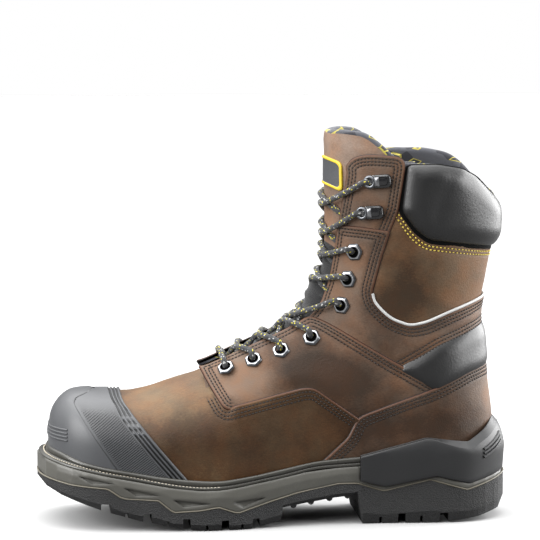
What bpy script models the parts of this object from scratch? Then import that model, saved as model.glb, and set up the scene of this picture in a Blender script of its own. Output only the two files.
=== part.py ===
"""Safety boot for the left foot: a lace-up work boot of about eight inches, standing empty on its sole.

Frame: +Z up, toe towards -X, outer side of the foot towards -Y. The origin is under the middle of the
boot's box, on the floor. Tables are in millimetres, and meshes in metres.
"""

from collections import namedtuple
import math

import bmesh
import bpy
from mathutils import Matrix, Vector
from mathutils.bvhtree import BVHTree
import numpy as np

MM = 0.001
GAP = 0.3                 # clearance between pieces that meet
WALL = 2.4                # leather and lining of the upper
OVERLAY = 1.7             # outer face of a leather overlay, above the upper
COUNTER_FACE = 1.9        # outer face of the heel counter
TOE_CAP_FACE = 2.3        # outer face of the rubber toe cap
PAD_FACE = 1.4            # face of a padded panel at its edge
COLLAR_SWELL = 5.0        # how far the collar pad stands out in its middle
ACHILLES_SWELL = 3.4
TONGUE_SINK = WALL + GAP  # the tongue lies under the upper's wall
TONGUE_THICKNESS = 5.0
PATCH_THICKNESS = 1.1
HALF_STEPS = 7           # facets from the top line to the base, on each side
ROWS_PER_SECTION = 1.2

TOE_X, TOE_DEPTH, TOE_POWER = -145.5, 46.0, 2.4      # end of the last, and the length of its rounding
HEEL_X, HEEL_DEPTH, HEEL_POWER = 146.5, 35.0, 2.0

# Plan of the feather line, where upper and sole meet. margin is how far the sole stands out past it.
Plan = namedtuple("Plan", "x lateral medial centre margin")
PLAN = (
    Plan(-145.5, 46.0, 44.0, 6.0, 10.5),
    Plan(-97.0, 47.0, 44.2, 3.0, 8.0),
    Plan(-70.0, 49.5, 46.0, 1.5, 7.0),
    Plan(-40.0, 48.5, 42.5, 0.0, 7.0),
    Plan(-5.0, 42.0, 35.0, 0.0, 6.0),
    Plan(35.0, 35.0, 31.0, 0.0, 5.5),
    Plan(80.0, 33.0, 32.0, 0.0, 6.0),
    Plan(111.5, 33.0, 33.0, 0.0, 7.0),
    Plan(146.5, 33.0, 33.0, 0.0, 9.0),
)

# Sections of the last, toe to collar. Each lies in a plane across the boot, from a point on the top line
# (vamp, instep, shin) to a point on the base line (under the sole's edge, then up the back of the heel).
Section = namedtuple("Section", "name top_x top_z base_x base_z lateral medial centre widest square")
SECTIONS = (
    Section("toe tip", -145.5, 57, -145.5, 37, 46, 44, 6.0, 0.60, 2.3),
    Section("toe front", -144.2, 68, -144.2, 36.5, 46, 44, 5.9, 0.60, 2.3),
    Section("toe shoulder", -139.8, 76.5, -139.8, 35, 46, 44, 5.7, 0.60, 2.35),
    Section("toe crown", -131, 82.5, -131, 32, 46, 44, 5.2, 0.60, 2.4),
    Section("toe top", -117, 83.6, -117, 29, 46.5, 44.4, 4.2, 0.60, 2.4),
    Section("cap edge", -97, 83.6, -97, 25.5, 48, 45.2, 3.0, 0.62, 2.3),
    Section("vamp", -72, 90, -70, 21.5, 50, 46.6, 1.5, 0.64, 2.15),
    Section("throat", -45, 99.5, -40, 19, 49, 44, 0.0, 0.66, 2.0),
    Section("waist", -15, 116, -5, 23.5, 43, 38.5, 0.0, 0.66, 1.95),
    Section("instep", 10, 131, 35, 30, 37.5, 36, 0.0, 0.62, 1.9),
    Section("bend", 20, 139.5, 80, 33, 35.5, 35, 0.0, 0.60, 1.9),
    Section("heel seat", 24.5, 146, 118, 35, 35, 35, 0.0, 0.58, 1.95),
    Section("heel corner", 27.5, 152, 146.5, 35, 35.5, 35.5, 0.0, 0.56, 2.0),
    Section("heel back", 29.5, 158, 146, 62, 36, 36, 0.0, 0.55, 2.0),
    Section("counter top", 31, 165, 143, 88, 36, 36.5, 0.0, 0.53, 2.0),
    Section("ankle", 32.2, 176, 139.6, 112, 36.5, 37, 0.0, 0.50, 2.0),
    Section("shaft foot", 32.4, 192, 138, 134, 37.5, 38, 0.0, 0.50, 2.0),
    Section("shaft", 32, 212, 143, 162, 39.5, 40, 0.0, 0.50, 2.0),
    Section("collar foot", 32, 233, 147, 190, 41.5, 42, 0.0, 0.50, 2.0),
    Section("collar", 32, 252, 148, 216, 42.5, 43, 0.0, 0.50, 2.0),
    Section("top", 33, 268, 148, 244, 42.5, 43, 0.0, 0.50, 2.0),
)
LAST_ROW = len(SECTIONS) - 1

# Half-width of the throat, of the tongue under it, and how far the flaps stand up at the throat's edge.
Throat = namedtuple("Throat", "row half tongue_half lift")
THROAT = (
    Throat(6.4, 13.5, 20.0, 5.5),
    Throat(8.0, 15.5, 22.0, 4.5),
    Throat(9.5, 14.5, 21.5, 2.5),
    Throat(12.0, 14.5, 22.0, 0.8),
    Throat(14.0, 16.5, 24.0, 0.4),
    Throat(16.0, 21.0, 28.0, 0.4),
    Throat(18.0, 28.0, 33.0, 0.4),
    Throat(20.0, 32.0, 36.0, 0.4),
)
THROAT_ROW = 6.95         # where the throat opens, at the end of the vamp
FLAP_ROW = 6.5            # the flaps stand apart from here on
THROAT_LIFT_REACH = 20.0  # width of the strip that lifts beside the throat

# Heights along the boot, each a table of x and z.
FEATHER_Z = ((-156, 49.5), (-145.5, 48.3), (-125, 42.3), (-95, 37), (-58, 32), (-41, 31), (-18, 33.3),
             (0.4, 36.5), (29, 41.4), (54, 43.3), (100, 46), (157, 47))
MIDSOLE_TOP_Z = ((-157, 45), (-137, 40.5), (-98, 33), (-46, 25.8), (0, 31.5), (28, 36.6), (54, 38),
                 (100, 41), (157, 42))
PARTING_Z = ((-157, 33), (-134, 29.3), (-111, 27.6), (-101.5, 21.2), (-78.4, 20), (-68.8, 12.2), (-51.4, 13.2),
             (-39.4, 15.2), (-26.8, 10.8), (-4.7, 17.4), (12.7, 22), (40.3, 27), (52.8, 27), (70.5, 21.5),
             (101.2, 28.8), (126, 21.5), (157, 30))
TREAD_Z = ((-157, 29), (-141, 22), (-116, 13.5), (-100, 9), (-90, 6.2), (-73, 3.2), (-55, 0.8), (-48, 0),
           (-18, 0), (-9, 1.8), (2, 4.2), (3.2, 12.6), (36, 17.4), (53, 19.2), (56.5, 0), (110, 0),
           (134, 3), (149, 6.5), (154.5, 13), (157, 20))

# Grooves across the tread, cut in from both edges: middle, width and depth. Slits are narrow and shallow.
Groove = namedtuple("Groove", "x width depth reach")
GROOVES = (
    Groove(-112.5, 8, 5.0, 30), Groove(-99, 2.2, 3.2, 16), Groove(-85.5, 7, 6.0, 34), Groove(-72.8, 2.2, 3.4, 16),
    Groove(-60.2, 6.5, 6.4, 34), Groove(-47, 2.2, 3.6, 16), Groove(-35, 6.5, 6.4, 34), Groove(-23.8, 2.2, 3.6, 16),
    Groove(-14.6, 6, 6.0, 30), Groove(68.4, 2.2, 4.2, 14), Groove(82.6, 6.5, 6.4, 28), Groove(95.5, 2.2, 4.6, 14),
    Groove(110.5, 7.5, 6.4, 26),
)
CENTRE_GROOVE_WIDTH, CENTRE_GROOVE_DEPTH = 9.0, 5.0
FOREFOOT_GROOVE, HEEL_GROOVE = (-104.0, -6.0), (62.0, 122.0)
LADDER_X = (10.4, 22.2, 34.5, 46.6)        # round bars under the arch
LADDER_RADIUS = 2.2

# Pockets in the side of the midsole: two ends of the upper edge, and the low point.
Pocket = namedtuple("Pocket", "x0 z0 x1 z1 x2 z2")
POCKETS = (
    Pocket(-130, 35.5, -106, 31.0, -121, 30.6),
    Pocket(-101, 28.5, -77, 23.2, -93, 23.0),
    Pocket(-69, 20.4, -44, 17.6, -62, 15.6),
    Pocket(-30, 18.0, -8, 20.2, -23, 14.2),
)
POCKET_DEPTH = 1.4

# The rubber stabilizer round the heel: its lower and upper edges, and how far it stands out at each height.
STABILIZER_FRONT_X = 55.0
STABILIZER_LOW = ((55, 28.6), (71.5, 24.6), (105.5, 31.2), (127, 25.6), (146, 30), (170, 35))
STABILIZER_TOP = ((55, 45.4), (98.7, 56.3), (127, 53), (140, 60), (150, 66), (170, 72))
Level = namedtuple("Level", "z margin")
STABILIZER_WALL = (Level(20, 8.2), Level(31, 8.6), Level(47, 9.6), Level(55, 8.0), Level(66, 3.4), Level(74, 1.0))
STABILIZER_SEAT = 4.5     # margin of the midsole inside the stabilizer

# Outlines of the panels as they show from the side.
TOE_CAP = ((-175, 20), (-175, 120), (-102, 120), (-101.5, 86), (-98.5, 78), (-57, 29), (-60, 20))
QUARTER = ((-50, 107), (-33.7, 77.2), (-13.5, 82.2), (16.5, 89.4), (22.5, 89.5), (27, 88), (52.6, 70.6),
           (104.6, 89.9), (40.5, 129.2), (33, 136), (24, 150), (0, 160), (-50, 140))
COUNTER = ((31, 41), (47.3, 57.1), (53, 69.6), (105, 89), (128, 99), (144, 102.6), (175, 109), (175, 20), (31, 20))
ANKLE_BAND = ((20, 196.5), (60, 193.8), (72, 190.2), (68.8, 176.3), (63.1, 152.4), (64.2, 146), (69, 140),
              (76, 134), (87, 129.3), (98, 131.6), (113.5, 137.3), (142, 146.8), (175, 158), (175, 139),
              (139.9, 127.6), (106.5, 114.4), (86, 102.6), (41.5, 129.8), (34, 136.8), (20, 155))
HOOK_STAY = ((20, 197.2), (60, 194.5), (73.6, 190.8), (78.8, 205.9), (83, 233.5), (81.6, 238.6), (20, 238.6))
COLLAR_PAD = ((84, 236), (79.8, 206), (90.6, 190.7), (98.4, 184.9), (112.9, 183), (146, 178.2), (175, 175),
              (175, 206), (150, 211), (140, 218.6), (131, 227.4), (121, 233), (104, 236.4))
ACHILLES_PAD = ((87, 102.4), (105.5, 90.4), (128, 99.8), (144, 103.4), (175, 110), (175, 138), (140, 127.0),
                (106.8, 113.8))
COLLAR_LINE = ((0, 238.6), (82, 238.6), (90, 240.5), (104, 240.5), (121, 237), (131, 231), (140, 222), (150, 214),
               (175, 204))
TONGUE_TOP = ((0, 250), (33, 253), (37, 257), (45, 258.4), (56, 257), (61.2, 254.3), (66.6, 248.4), (80, 232))
PIPING_WIDTH = 2.0
PIPING_FACE = 1.3
PATCH_ROWS = (17.45, 18.35)
PATCH_HALF = 24.0

# Eyelets and hooks, as they show from the side, and how far each sits from the throat's edge.
EYELETS = ((-30.9, 101.4), (-14.0, 109.8), (3.1, 118.7), (21.6, 126.8), (44.3, 143.3), (48.0, 161.1), (51.9, 178.9))
HOOKS = ((57.0, 204.6), (61.5, 225.0))
EYELET_INSET, HOOK_INSET = 8.5, 8.0
EYELET_RADIUS, EYELET_HOLE, EYELET_HEIGHT, EYELET_BEVEL = 6.2, 2.7, 1.5, 0.7
HOOK_LENGTH, HOOK_WIDTH, HOOK_HEIGHT, HOOK_SHEET, HOOK_HOLE = 19.0, 9.4, 4.6, 1.3, 2.5
LACE_RADIUS = 1.9
LACE_SIDES = 5
LACE_GAP = 0.45           # clearance of a lace over the leather
LACE_BAR_RISE = 7.0
LACE_OVER_TONGUE = 1.2    # height of a crossing over the last, above tongue and patch

LEATHER, RUBBER, GREY, BLACK_SYNTHETIC = (0.16, 0.075, 0.04), (0.03, 0.03, 0.032), (0.2, 0.19, 0.17), (0.02, 0.02, 0.021)


def clear_scene():
    for obj in list(bpy.data.objects):
        bpy.data.objects.remove(obj)


# Smooth curves through short tables


def smooth_table(xs, ys):
    """A function through the points, with no overshoot between them."""
    xs, ys = np.asarray(xs, float), np.asarray(ys, float)
    step, rise = np.diff(xs), np.diff(ys) / np.diff(xs)
    slope = np.zeros(len(xs))
    slope[0], slope[-1] = rise[0], rise[-1]
    for i in range(1, len(xs) - 1):
        if rise[i - 1] * rise[i] > 0:
            w0, w1 = 2 * step[i] + step[i - 1], step[i] + 2 * step[i - 1]
            slope[i] = (w0 + w1) / (w0 / rise[i - 1] + w1 / rise[i])

    def value(x):
        x = np.clip(np.asarray(x, float), xs[0], xs[-1])
        i = np.clip(np.searchsorted(xs, x) - 1, 0, len(xs) - 2)
        h = step[i]
        t = (x - xs[i]) / h
        return (
            ys[i] * (1 + 2 * t) * (1 - t) ** 2
            + h * slope[i] * t * (1 - t) ** 2
            + ys[i + 1] * t * t * (3 - 2 * t)
            + h * slope[i + 1] * t * t * (t - 1)
        )

    return value


def columns(table):
    """One smooth function for each column after the first."""
    first = table[0]._fields[0]
    keys = [getattr(row, first) for row in table]
    return {name: smooth_table(keys, [getattr(row, name) for row in table]) for name in first_rest(table)}


def first_rest(table):
    return table[0]._fields[1:]


plan = columns(PLAN)
throat = columns(THROAT)
section = {
    name: smooth_table(range(len(SECTIONS)), [getattr(row, name) for row in SECTIONS])
    for name in Section._fields[1:]
}
feather_z = smooth_table(*zip(*FEATHER_Z))
midsole_top_z = smooth_table(*zip(*MIDSOLE_TOP_Z))


def straight_table(table):
    xs, zs = zip(*table)
    return lambda x: np.interp(x, xs, zs)


parting_z = straight_table(PARTING_Z)
tread_z = straight_table(TREAD_Z)


def end_rounding(x, margin_toe=0.0, margin_heel=0.0):
    """From 0 at the two ends of the plan to 1 along its sides."""
    x = np.asarray(x, float)
    toe = np.clip((TOE_X + TOE_DEPTH - x) / (TOE_DEPTH + margin_toe), 0, 1)
    heel = np.clip((x - HEEL_X + HEEL_DEPTH) / (HEEL_DEPTH + margin_heel), 0, 1)
    return (1 - toe**TOE_POWER) ** (1 / TOE_POWER) * (1 - heel**HEEL_POWER) ** (1 / HEEL_POWER)


def toe_rounding(x):
    toe = np.clip((TOE_X + TOE_DEPTH - np.asarray(x, float)) / TOE_DEPTH, 0, 1)
    return (1 - toe**TOE_POWER) ** (1 / TOE_POWER)


def plan_half(x, side, margin=0.0):
    """Half-width of the feather line at x, on the lateral (-1) or medial (+1) side, grown by a margin."""
    name = "lateral" if side < 0 else "medial"
    return (plan[name](x) + margin) * end_rounding(x, margin, margin)


# The last: one function for the whole form of the upper


def half_section(row, side):
    """Points down one half of a section: share of the way from top to base, and distance from the middle."""
    name = "lateral" if side < 0 else "medial"
    base_x = float(section["base_x"](row))
    widest, square = float(section["widest"](row)), float(section["square"](row))
    half = float(section[name](row)) * float(toe_rounding(base_x))
    foot = 0.97 * float(plan_half(base_x, side))
    if row >= SECTIONS_AT_HEEL_CORNER:
        foot = 0.0
    foot = min(foot, half)
    upper_steps = HALF_STEPS * 4 // 7
    points = []
    for i in range(1, upper_steps + 1):
        angle = math.pi / 2 * i / upper_steps
        points.append((widest * (1 - math.cos(angle) ** (2 / square)), half * math.sin(angle) ** (2 / square)))
    cut = 1 - (foot / half) ** 2 if half > 0 else 1.0
    end = math.asin(math.sqrt(max(cut, 1e-4)))
    for i in range(1, HALF_STEPS - upper_steps + 1):
        angle = end * i / (HALF_STEPS - upper_steps)
        points.append((widest + (1 - widest) * math.sin(angle) / math.sin(end), half * math.cos(angle)))
    points[-1] = (1.0, foot)
    return points


SECTIONS_AT_HEEL_CORNER = [row.name for row in SECTIONS].index("heel corner")


def section_line(row):
    top = np.array([float(section["top_x"](row)), float(section["top_z"](row))])
    base = np.array([float(section["base_x"](row)), float(section["base_z"](row))])
    return top, base


def place(row, share, y):
    """The point of a section, in millimetres."""
    top, base = section_line(row)
    x, z = top + (base - top) * share
    return Vector((x, float(section["centre"](row)) + y, z))


def section_loop(row):
    """A whole section: over the top on the lateral side, along the bottom and up the medial side."""
    lateral = [place(row, share, -y) for share, y in half_section(row, -1)]
    medial = [place(row, share, y) for share, y in half_section(row, 1)]
    return [place(row, 0.0, 0.0)] + lateral + medial[::-1]


def form_rows():
    count = int(LAST_ROW * ROWS_PER_SECTION)
    return [LAST_ROW * i / count for i in range(count + 1)]


def bare_form():
    """The last as a closed mesh, with the row of the last that each point lies on."""
    loops = [section_loop(row) for row in form_rows()]
    size = len(loops[0])
    mesh = bmesh.new()
    grid = [[mesh.verts.new(point) for point in loop] for loop in loops]
    for near, far in zip(grid, grid[1:]):
        for j in range(size):
            k = (j + 1) % size
            mesh.faces.new((near[j], far[j], far[k], near[k]))
    mesh.faces.new(grid[-1][::-1])
    bmesh.ops.remove_doubles(mesh, verts=mesh.verts, dist=1e-3)
    bmesh.ops.triangulate(mesh, faces=mesh.faces, quad_method="SHORT_EDGE")
    bmesh.ops.recalc_face_normals(mesh, faces=mesh.faces)
    mesh.normal_update()
    return mesh


def form(name, face):
    """The last grown by face, in millimetres: a number, or a function of a point on the last."""
    mesh = bare_form()
    moves = []
    for vert in mesh.verts:
        grow = face(vert.co) if callable(face) else face
        moves.append((vert, vert.co + vert.normal * grow))
    for vert, point in moves:
        vert.co = point
    return object_from(name, mesh)


# Objects and cutting


def object_from(name, mesh):
    """Makes an object of a bmesh in millimetres."""
    bmesh.ops.scale(mesh, vec=(MM, MM, MM), verts=mesh.verts)
    data = bpy.data.meshes.new(name)
    mesh.to_mesh(data)
    mesh.free()
    obj = bpy.data.objects.new(name, data)
    bpy.context.scene.collection.objects.link(obj)
    return obj


def prism(name, outline, y0=-120.0, y1=120.0):
    """An outline in x and z, pulled out along Y."""
    mesh = bmesh.new()
    near = [mesh.verts.new((x, y0, z)) for x, z in outline]
    far = [mesh.verts.new((x, y1, z)) for x, z in outline]
    mesh.faces.new(near)
    mesh.faces.new(far[::-1])
    for i in range(len(outline)):
        j = (i + 1) % len(outline)
        mesh.faces.new((near[i], far[i], far[j], near[j]))
    bmesh.ops.recalc_face_normals(mesh, faces=mesh.faces)
    return object_from(name, mesh)


def cut(obj, other, operation="DIFFERENCE", keep=False, solver="EXACT"):
    """Applies a Boolean with another object, which is then removed unless it is kept."""
    modifier = obj.modifiers.new(operation.title(), "BOOLEAN")
    modifier.operation = operation
    modifier.object = other
    modifier.solver = solver
    bpy.context.view_layer.update()
    graph = bpy.context.evaluated_depsgraph_get()
    made = bpy.data.meshes.new_from_object(obj.evaluated_get(graph))
    obj.modifiers.clear()
    obj.data = made
    if not keep:
        bpy.data.objects.remove(other)
    return obj


def copy_of(obj, name):
    twin = obj.copy()
    twin.data = obj.data.copy()
    twin.name = name
    bpy.context.scene.collection.objects.link(twin)
    return twin


def largest_body(obj, side=0):
    """Keeps the largest connected body of a mesh, or the largest on one side of the boot."""
    mesh = bmesh.new()
    mesh.from_mesh(obj.data)
    left, groups = set(mesh.verts), []
    while left:
        stack = [left.pop()]
        group = set(stack)
        while stack:
            for edge in stack.pop().link_edges:
                for vert in edge.verts:
                    if vert in left:
                        left.discard(vert)
                        group.add(vert)
                        stack.append(vert)
        groups.append(group)
    wanted = [g for g in groups if side * sum(v.co.y for v in g) >= 0]
    largest = max(wanted, key=len)
    crumbs = [vert for group in groups if group is not largest for vert in group]
    bmesh.ops.delete(mesh, geom=crumbs, context="VERTS")
    mesh.to_mesh(obj.data)
    mesh.free()
    return obj


def material(name, colour, roughness, metallic=0.0):
    made = bpy.data.materials.get(name) or bpy.data.materials.new(name)
    made.use_nodes = True
    shader = made.node_tree.nodes["Principled BSDF"]
    shader.inputs["Base Color"].default_value = (*colour, 1.0)
    shader.inputs["Roughness"].default_value = roughness
    shader.inputs["Metallic"].default_value = metallic
    return made


def finish(obj, name, finish_material):
    obj.name = name
    obj.data.name = name
    obj.data.materials.clear()
    obj.data.materials.append(finish_material)
    obj.data.shade_smooth()
    obj.data.set_sharp_from_angle(angle=math.radians(40))
    return obj


# Shapes that follow the throat


def flap_lift(row, offset):
    """How far a flap stands up at a place beside the throat."""
    reach = min(max(1 - (offset - float(throat["half"](row))) / THROAT_LIFT_REACH, 0.0), 1.0)
    return float(throat["lift"](row)) * reach * reach * (3 - 2 * reach)


ROW_SAMPLES = np.linspace(0, LAST_ROW, 400)
SAMPLE_TOPS = np.stack([section["top_x"](ROW_SAMPLES), section["top_z"](ROW_SAMPLES)], axis=1)
SAMPLE_BASES = np.stack([section["base_x"](ROW_SAMPLES), section["base_z"](ROW_SAMPLES)], axis=1)


def row_at(x, z):
    """The section whose line passes through a point of the side view."""
    along = SAMPLE_BASES - SAMPLE_TOPS
    aside = (x - SAMPLE_TOPS[:, 0]) * along[:, 1] - (z - SAMPLE_TOPS[:, 1]) * along[:, 0]
    for i in range(len(aside) - 1):
        if aside[i] > 0 >= aside[i + 1] or aside[i] < 0 <= aside[i + 1]:
            blend = aside[i] / (aside[i] - aside[i + 1])
            return float(ROW_SAMPLES[i] + blend * (ROW_SAMPLES[i + 1] - ROW_SAMPLES[i]))
    return float(ROW_SAMPLES[np.argmin(np.abs(aside))])


def flap_face(point):
    """Outer face of the leather flaps: one overlay thick, lifting beside the throat."""
    row = row_at(point.x, point.z)
    return OVERLAY + flap_lift(row, abs(point.y - float(section["centre"](row))))


def flap_underside(point):
    return flap_face(point) - OVERLAY + GAP


def over_top(row, y, face=0.0):
    """A point over the top of the last at a signed distance y from its middle, raised by face."""
    side = -1 if y < 0 else 1
    half = float(section["lateral" if side < 0 else "medial"](row))
    widest, square = float(section["widest"](row)), float(section["square"](row))
    across = min(abs(y) / half, 0.999)
    share = widest * (1 - (1 - across**square) ** (1 / square))
    point = place(row, share, y)
    if not face:
        return point
    return point + top_normal(row, y) * face


def top_normal(row, y):
    step_row, step_y = 0.08, 0.6
    along = over_top(min(row + step_row, LAST_ROW), y) - over_top(max(row - step_row, 0), y)
    across = over_top(row, y + step_y) - over_top(row, y - step_y)
    normal = across.cross(along).normalized()
    top, base = section_line(row)
    outward = Vector((top[0] - base[0], 0.0, top[1] - base[1]))
    return normal if normal.dot(outward) > 0 else -normal


def ribbon(name, half_name, rows, front=22.0, back=32.0):
    """A thick strip along the top line, as wide as the throat's table says."""
    mesh = bmesh.new()
    rings = []
    for row in rows:
        top, base = section_line(row)
        inward = Vector((base[0] - top[0], 0, base[1] - top[1])).normalized()
        middle = place(row, 0.0, 0.0)
        half = float(throat[half_name](row))
        corners = ((-half, -front), (half, -front), (half, back), (-half, back))
        rings.append([mesh.verts.new(middle + inward * depth + Vector((0, y, 0))) for y, depth in corners])
    for near, far in zip(rings, rings[1:]):
        for i in range(4):
            j = (i + 1) % 4
            mesh.faces.new((near[i], far[i], far[j], near[j]))
    mesh.faces.new(rings[0])
    mesh.faces.new(rings[-1])
    bmesh.ops.recalc_face_normals(mesh, faces=mesh.faces)
    return object_from(name, mesh)


def throat_rows(first=THROAT_ROW, last=LAST_ROW - 0.37, count=17):
    return [first + (last - first) * i / count for i in range(count + 1)]


def throat_cutter(first=THROAT_ROW):
    return ribbon("throat cutter", "half", throat_rows(first))


# Sole


def slab(name, low, high, margin, wall=((0.0, 0.0), (1.0, 0.0)), breaks=(), x_range=None, end_steps=7):
    """A layer of the sole between two heights, following the plan grown by a margin.

    wall lists shares of the height and how far the wall stands out there.
    """
    grow = (lambda x: plan["margin"](x) + margin) if margin_follows(margin) else (lambda x: margin[0])
    toe, heel = TOE_X - float(grow(TOE_X)), HEEL_X + float(grow(HEEL_X))
    xs = slab_stations(toe, heel, breaks, end_steps)
    if x_range:
        xs = sorted({x for x in xs if x_range[0] < x < x_range[1]} | set(x_range))
    mesh = bmesh.new()
    sides = []
    for x in xs:
        rings = []
        for side in (-1, 1):
            column = []
            for share, out in wall:
                z = float(low(x)) + share * float(high(x) - low(x))
                half = sole_half(x, side, grow, out)
                column.append(mesh.verts.new((x, float(plan["centre"](x)) + side * half, z)))
            rings.append(column)
        sides.append(rings[0] + rings[1][::-1])
    count = len(sides[0])
    for near, far in zip(sides, sides[1:]):
        for i in range(count):
            j = (i + 1) % count
            mesh.faces.new((near[i], far[i], far[j], near[j]))
    mesh.faces.new(sides[0])
    mesh.faces.new(sides[-1])
    bmesh.ops.remove_doubles(mesh, verts=mesh.verts, dist=1e-3)
    bmesh.ops.dissolve_degenerate(mesh, edges=mesh.edges, dist=1e-4)
    bmesh.ops.recalc_face_normals(mesh, faces=mesh.faces)
    return object_from(name, mesh)


def margin_follows(margin):
    return not isinstance(margin, tuple)


def sole_half(x, side, grow, out):
    """Half-width of a layer of the sole, rounded at its own two ends."""
    name = "lateral" if side < 0 else "medial"
    toe_grow, heel_grow = float(grow(TOE_X)), float(grow(HEEL_X))
    rounding = float(end_rounding(x, toe_grow, heel_grow))
    return max((float(plan[name](x)) + float(grow(x)) + out) * rounding, 0.0)


def slab_stations(toe, heel, breaks, end_steps):
    """Places along the sole: close together round toe and heel, at each break, and evenly between."""
    toe_end, heel_start = TOE_X + TOE_DEPTH, HEEL_X - HEEL_DEPTH
    xs = {toe + (toe_end - toe) * (1 - math.cos(math.pi / 2 * i / end_steps)) for i in range(end_steps + 1)}
    xs |= {heel - (heel - heel_start) * (1 - math.cos(math.pi / 2 * i / end_steps)) for i in range(end_steps + 1)}
    xs |= {toe_end + (heel_start - toe_end) * i / 9 for i in range(1, 9)}
    kept = sorted(x for x in xs if all(abs(x - b) > 3.0 for b in breaks) or x in (toe, heel))
    return sorted(set(kept) | {b for b in breaks if toe < b < heel})


def side_block(name, height, x0=-175.0, x1=175.0, floor=-20.0, breaks=()):
    """Everything below a height that varies along the boot."""
    xs = sorted(set(np.linspace(x0, x1, 22)) | set(breaks))
    outline = [(x, float(height(x))) for x in xs] + [(x1, floor), (x0, floor)]
    return prism(name, outline)


def table_breaks(table):
    return tuple(x for x, _ in table)


def build_outsole():
    breaks = table_breaks(PARTING_Z) + table_breaks(TREAD_Z)
    wall = ((0.0, -1.2), (0.28, 0.6), (1.0, 0.0))
    outsole = slab("outsole", tread_z, lambda x: parting_z(x) - GAP, 0.0, wall, breaks)
    for groove in GROOVES:
        floor = float(tread_z(groove.x)) + groove.depth
        for side in (-1, 1):
            half = sole_half(groove.x, side, plan["margin"], 0.0)
            middle = float(plan["centre"](groove.x))
            ends = sorted((middle + side * (half - groove.reach), middle + side * (half + 12)))
            outline = ((groove.x - groove.width / 2, -9), (groove.x + groove.width / 2, -9),
                       (groove.x + groove.width * 0.36, floor), (groove.x - groove.width * 0.36, floor))
            cut(outsole, prism("groove", outline, *ends))
    for x0, x1 in (FOREFOOT_GROOVE, HEEL_GROOVE):
        xs = np.linspace(x0, x1, 6)
        outline = [(x, float(tread_z(x)) + CENTRE_GROOVE_DEPTH) for x in xs] + [(x1, -9), (x0, -9)]
        half = CENTRE_GROOVE_WIDTH / 2
        cut(outsole, prism("centre groove", outline, -half, half))
    for x in LADDER_X:
        z = float(tread_z(x)) + 0.2
        turns = [math.pi * 2 * i / 8 for i in range(8)]
        outline = [(x + LADDER_RADIUS * math.cos(a), z + LADDER_RADIUS * math.sin(a)) for a in turns]
        ends = [float(plan["centre"](x)) + side * (sole_half(x, side, plan["margin"], 0.0) - 1.5) for side in (-1, 1)]
        cut(outsole, prism("ladder bar", outline, *ends), "UNION")
    return outsole


def stabilizer_outline(grow):
    """The stabilizer as it shows from the side, grown by a clearance."""
    low = [(x, z - grow) for x, z in STABILIZER_LOW]
    low[0] = (low[0][0] - grow, low[0][1])
    top = [(x, z + grow) for x, z in STABILIZER_TOP]
    top[0] = (top[0][0] - grow, top[0][1])
    return low + top[::-1]


def heel_slab(name, low, high, margin):
    return slab(name, lambda x: low, lambda x: high, (margin,))


def build_midsole():
    breaks = table_breaks(PARTING_Z)
    wall = ((0.0, -0.3), (0.6, 0.4), (1.0, -0.6))
    midsole = slab("midsole", parting_z, midsole_top_z, 0.0, wall, breaks)
    room = prism("stabilizer room", stabilizer_outline(GAP))
    cut(room, heel_slab("stabilizer seat", -5, 90, STABILIZER_SEAT - GAP))
    cut(midsole, room)
    for pocket in POCKETS:
        outline = ((pocket.x0, pocket.z0), (pocket.x1, pocket.z1), (pocket.x2, pocket.z2))
        hole = prism("pocket", outline)
        cut(hole, slab("pocket floor", lambda x: -5.0, lambda x: 60.0, -POCKET_DEPTH))
        cut(midsole, hole)
    return midsole


def build_welt():
    """The welt: a flat flange with a rib standing round the foot of the upper, up to the stabilizer."""
    low = lambda x: midsole_top_z(x) + GAP
    span = (TOE_X - float(plan["margin"](TOE_X)) + 1.2, STABILIZER_FRONT_X - GAP)
    welt = slab("welt", low, lambda x: low(x) + 1.9, -1.2)
    rib = slab("welt rib", low, feather_z, (4.4,), ((0.0, 0.0), (1.0, -0.8)))
    cut(welt, rib, "UNION")
    cut(welt, form("welt hole", GAP))
    behind = ((span[1], 0), (200, 0), (200, 120), (span[1], 120))
    cut(welt, prism("welt end", behind))
    return largest_body(welt)


def build_stabilizer():
    levels = STABILIZER_WALL
    mesh = bmesh.new()
    xs = [STABILIZER_FRONT_X - 6] + [x for x in np.linspace(STABILIZER_FRONT_X, HEEL_X - HEEL_DEPTH, 5)]
    rings = []
    for level in levels:
        heel = HEEL_X + level.margin
        start = HEEL_X - HEEL_DEPTH
        bends = [heel - (heel - start) * (1 - math.sin(math.pi / 2 * i / 7)) for i in range(1, 8)]
        lateral = [(x, -1) for x in xs + bends]
        medial = [(x, 1) for x in (xs + bends)[::-1][1:]]
        ring = []
        for x, side in lateral + medial:
            slim = level.margin - float(plan["margin"](HEEL_X)) + float(plan["margin"](min(x, HEEL_X)))
            name = "lateral" if side < 0 else "medial"
            half = (float(plan[name](x)) + slim) * float(end_rounding(x, 0, level.margin))
            ring.append(mesh.verts.new((x, float(plan["centre"](x)) + side * half, level.z)))
        rings.append(ring)
    for near, far in zip(rings, rings[1:]):
        for i in range(len(near)):
            j = (i + 1) % len(near)
            mesh.faces.new((near[i], near[j], far[j], far[i]))
    mesh.faces.new(rings[0])
    mesh.faces.new(rings[-1])
    bmesh.ops.remove_doubles(mesh, verts=mesh.verts, dist=1e-3)
    bmesh.ops.recalc_face_normals(mesh, faces=mesh.faces)
    stabilizer = object_from("heel_stabilizer", mesh)
    cut(stabilizer, prism("stabilizer side", stabilizer_outline(0.0)), "INTERSECT")
    inside = form("stabilizer hollow", COUNTER_FACE + GAP)
    seat = heel_slab("stabilizer seat", -5, 46.5, STABILIZER_SEAT)
    cut(stabilizer, inside)
    cut(stabilizer, seat)
    return largest_body(stabilizer)


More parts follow.
